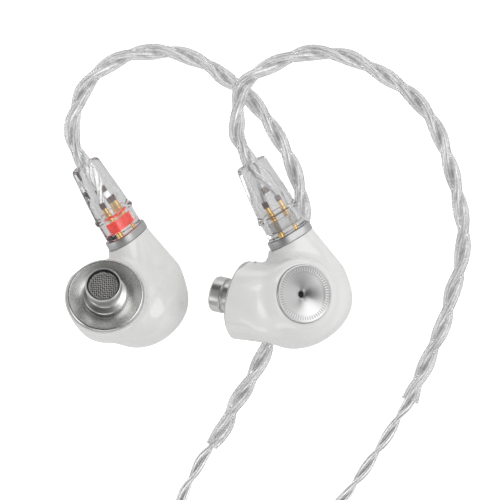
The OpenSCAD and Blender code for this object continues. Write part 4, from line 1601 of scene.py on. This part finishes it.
    def plug(self) -> None:
        """The clear plug and its two banded pins."""
        low, top = self.collar_h + 0.02, self.plug_top
        rows = [(6.7, 4.8, low), (6.95, 5.05, low + 0.1), (7.1, 5.2, low + 0.3), (7.1, 5.2, 4.35),
                (7.14, 5.24, 4.45),
                (7.4, 5.44, 4.52), (7.62, 5.62, 4.62), (7.7, 5.7, 4.78), (7.7, 5.7, 5.02), (7.6, 5.6, 5.18),
                (7.34, 5.4, 5.28), (7.14, 5.22, 5.36)]
        for k in range(1, 13):
            q = k / 12
            rows.append((7.1 - 1.6 * q ** 1.15, 5.2 - 0.8 * q ** 1.1, 5.4 + (top - 0.5 - 5.4) * q))
        rows += [(5.36, 4.26, top - 0.3), (5.2, 4.1, top - 0.12), (4.9, 3.8, top)]
        inside = [(4.4, 2.6, 2.32), (4.98, 2.98, 2.4), (5.0, 3.0, 6.0), (4.9, 2.9, 8.0), (4.3, 2.5, 8.6),
                  (3.6, 2.0, 9.2),
                  (3.3, 1.9, 11.5), (2.6, 1.8, 12.8), (1.9, 1.6, 13.4)]
        piece = oval_stack(self.named("plug_clear"), rows, self.ear, self.finishes.clear, inside)
        self.stands_for(piece, "plug_body", "cable")
        for number, s in enumerate((-1, 1)):
            place = self.ear.inner((0, s * self.pin_gap / 2, 0), np.eye(3))
            line = [(0.0, -2.65), (0.14, -2.65), (0.39, -2.3), (0.39, 1.9)]
            z = 1.9
            while z < 4.0:
                line += [(0.29, z + 0.06), (0.29, z + 0.26), (0.39, z + 0.32), (0.39, z + 0.55)]
                z += 0.55
            line += [(0.39, 4.14), (0.55, 4.16), (0.55, 4.6), (0.42, 4.66), (0.42, 5.0), (0.55, 5.06),
                     (0.55, 5.6),
                     (0.42, 5.66), (0.42, 6.9), (0, 6.9)]
            piece = turned(self.named(f"pin_{number + 1}"), line, place, self.finishes.gold, 0.03, 32)
            self.stands_for(piece, "pins", "cable")

    def leads(self) -> None:
        """The two strands inside the plug, from the cable's entry to the pins, and their solder block."""
        half, top = self.pin_gap / 2, self.plug_top
        points: List[np.ndarray] = []
        faces: Faces = []
        ways: Ways = []
        slots: List[int] = []
        base = 0
        for s in (-1, 1):
            way = [(0, s * half, 6.7), (0, s * half, 7.4), (0.12 * s, s * (half - 0.1), 8.1),
                   (0.25 * s, s * 0.85, 8.9),
                   (0.42 * s, s * 0.5, 9.9), (0.47 * s, s * 0.05, 11.2), (0.2 * s, -s * 0.42, 12.6),
                   (-0.2 * s, -s * 0.45, 13.6), (-0.47 * s, -s * 0.1, top)]
            line = resampled(np.array(way, float), 0.18)
            for slot, radius, sides, part in ((0, 0.45, 12, line), (1, 0.5, 16, line[:7])):
                rings = Cord("", line, Twist(1, 0, 0, 0, 1)).tube(part, radius, sides)
                f, w = skinned(rings, True, base)
                faces.extend(f)
                ways.extend(w)
                slots.extend([slot] * len(f))
                points.extend(rings)
                base += len(rings) * sides
        x, y = np.array([-1, 1, 1, -1]), np.array([-1, -1, 1, 1])
        block = [np.column_stack([x * a, y * b - 0.1, np.full(4, z)]) for a, b, z in (
            (0.44, 0.50, 9.0), (0.50, 0.56, 9.06), (0.50, 0.56, 9.94), (0.44, 0.50, 10.0))]
        f, w = skinned(block, True, base)
        piece = mesh_object(self.named("plug_leads"), self.ear.put(np.vstack(points + block)), faces + f,
                            [self.finishes.strand, self.finishes.solder], ways + w, slots + [1] * len(f))
        piece.data.set_sharp_from_angle(angle=math.radians(50))
        self.stands_for(piece, "lead_wires", "cable")

    def dress(self) -> None:
        """Gives the nodes that stay as they are their finishes."""
        f = self.finishes
        for stem, material in (("driver_frame", f.plastic), ("yoke", f.steel), ("magnet", f.magnet),
                               ("pole_plate", f.steel), ("diaphragm", f.film), ("voice_coil", f.copper),
                               ("terminal_board", f.board), ("driver_leads", f.insulation),
                               ("vent_screen", f.fabric), ("socket", f.plastic), ("socket_contacts", f.gold),
                               ("pin_block", f.red if self.side is Side.RIGHT else f.clear_block)):
            dress_node(self.named(stem), material)

    def build(self) -> None:
        """Builds the earphone's pieces in order."""
        self.shell()
        self.nozzle()
        self.dish_plate()
        self.collar()
        self.plug()
        self.leads()
        self.dress()


def dress_node(name: str, material: bpy.types.Material) -> None:
    """Gives a node that stays as it is one finish."""
    thing = bpy.data.objects[name]
    thing.data.materials.clear()
    thing.data.materials.append(material)


# ------------------------------------------------------------------ studio


@dataclass
class Studio:
    """The pale floor, the soft light and the camera.

    Attributes:
        centre: where the camera looks, in metres.
        height: the camera's height.
        span: how much of the floor the view takes in.
    """

    centre: Tuple[float, float] = (0.0066, 0.0059)
    height: float = 1.0
    span: float = 0.0833333

    def camera(self) -> None:
        """The camera, straight above, with a long lens."""
        data = bpy.data.cameras.new("camera")
        data.sensor_width = 36.0
        data.lens = 36.0 * (self.height - 0.0075) / self.span
        data.clip_start, data.clip_end = 0.01, 60.0
        eye = bpy.data.objects.new("camera", data)
        eye.location = (*self.centre, self.height)
        bpy.context.scene.collection.objects.link(eye)
        bpy.context.scene.camera = eye

    def sheet(self, name: str, low: Tuple[float, float], high: Tuple[float, float], z: float,
              greys: Tuple[float, float], lit: float) -> bpy.types.Object:
        """One level sheet that glows a little.

        Args:
            name: its name, which its finish takes too.
            low: its least x and y.
            high: its greatest x and y.
            z: its height.
            greys: the darker and lighter grey of its grain.
            lit: how much it glows.

        Returns:
            The sheet.
        """
        t = Tree(f"{name}_finish")
        grain = t.noise(t.place(), 30, 3)
        material = t.surface({
            "Base Color": t.blend(grain, (greys[0],) * 3, (greys[1],) * 3), "Roughness": 0.9,
            "Specular IOR Level": 0.1, "Emission Color": (1.0, 1.0, 1.0, 1.0), "Emission Strength": lit,
        })
        corners = [[low[0], low[1], z], [high[0], low[1], z], [high[0], high[1], z], [low[0], high[1], z]]
        return mesh_object(name, np.array(corners), [[0, 1, 2, 3]], [material], solid=False)

    def floor(self) -> None:
        """A wide pale floor, as a light table, and a grey card seen only in the object's surfaces."""
        wide = 8000.0
        self.sheet("floor", (-wide, -wide), (wide, wide), -0.02, (0.36, 0.40), 0.96)
        under = self.sheet("under_card", (-170, -190), (170, 130), -0.008, (0.34, 0.38), 0.40)
        under.visible_camera = False
        under.visible_shadow = False

    def panel(self, name: str, place: Tuple[float, float, float], size: Tuple[float, float], power: float,
              target: Tuple[float, float, float] = (0.0, 0.0, 0.005)) -> None:
        """One soft light that faces a point.

        Args:
            name: its name.
            place: where it stands, in metres.
            size: its width and height.
            power: its power in watts.
            target: the point it faces.
        """
        data = bpy.data.lights.new(name, "AREA")
        data.shape, data.size, data.size_y, data.energy = "RECTANGLE", *size, power
        lamp = bpy.data.objects.new(name, data)
        lamp.location = place
        lamp.rotation_euler = (Vector(target) - Vector(place)).to_track_quat("-Z", "Y").to_euler()
        lamp.visible_camera = False
        bpy.context.scene.collection.objects.link(lamp)

    def card(self, name: str, place: Tuple[float, float, float], size: Tuple[float, float],
             grey: float) -> None:
        """A dark card beside the set, seen only in reflections.

        Args:
            name: its name.
            place: its middle, in metres.
            size: its width and height.
            grey: how light it is.
        """
        out = unit(np.array(place) - np.array([0, 0, 0.01]))
        side = unit(np.cross([0, 0, 1.0], out))
        rise = np.cross(out, side)
        corners = np.array([np.array(place) + a * side * size[0] / 2 + b * rise * size[1] / 2
                            for a, b in ((-1, -1), (1, -1), (1, 1), (-1, 1))]) / MM
        material = PlainFinish(f"{name}_finish", (grey,) * 3, (grey * 0.8,) * 3, 0, 0.8, 40).make()
        thing = mesh_object(name, corners, [[0, 1, 2, 3]], [material], solid=False)
        thing.visible_camera = False
        thing.visible_shadow = False
        thing.visible_transmission = False
        thing.visible_diffuse = False

    def light(self) -> None:
        """The soft studio light."""
        world = bpy.data.worlds.new("studio")
        world.use_nodes = True
        tree = world.node_tree
        way = tree.nodes.new("ShaderNodeTexCoord")
        split = tree.nodes.new("ShaderNodeSeparateXYZ")
        ramp = tree.nodes.new("ShaderNodeValToRGB")
        for element, (at, grey) in zip(ramp.color_ramp.elements, ((0.12, 0.16), (0.95, 0.56))):
            element.position, element.color = at, (grey, grey, grey * 1.01, 1.0)
        tree.links.new(way.outputs["Generated"], split.inputs[0])
        tree.links.new(split.outputs[2], ramp.inputs[0])
        tree.links.new(ramp.outputs[0], tree.nodes["Background"].inputs["Color"])
        tree.nodes["Background"].inputs["Strength"].default_value = 1.0
        bpy.context.scene.world = world
        bpy.context.scene.view_settings.view_transform = "Standard"
        self.panel("key_panel", (0.60, 0.30, 0.80), (1.10, 0.90), 4.8)
        self.panel("side_panel", (-0.95, -0.25, 0.34), (0.70, 0.50), 2.2)
        self.panel("low_panel", (-0.10, -0.85, 0.45), (1.0, 0.40), 1.5)
        self.panel("right_strip", (0.95, -0.05, 0.17), (1.4, 0.30), 1.0)
        self.panel("top_strip", (0.15, 0.95, 0.17), (1.2, 0.28), 1.1)
        self.card("dark_card_top", (-0.30, 0.62, 0.42), (0.75, 0.35), 0.02)
        self.card("dark_card_above", (-0.15, 0.05, 0.86), (0.95, 1.00), 0.02)

    def build(self) -> None:
        """Sets up camera, floor and light."""
        self.camera()
        self.floor()
        self.light()


def main() -> None:
    """Builds the studio, the cable and both earphones."""
    logging.basicConfig(level=logging.INFO, format="%(name)s: %(message)s", stream=sys.stdout)
    Studio().build()
    finishes = Finishes()
    Cable(finishes).build()
    for side in Side:
        Earphone(side, finishes).build()
    dress_node("splitter_joint", finishes.plastic)
    for stem in ("jack_sleeve", "jack_ring", "jack_tip"):
        dress_node(stem, finishes.gold)
    dress_node("jack_insulators", finishes.black)


if __name__ == "__main__":
    main()
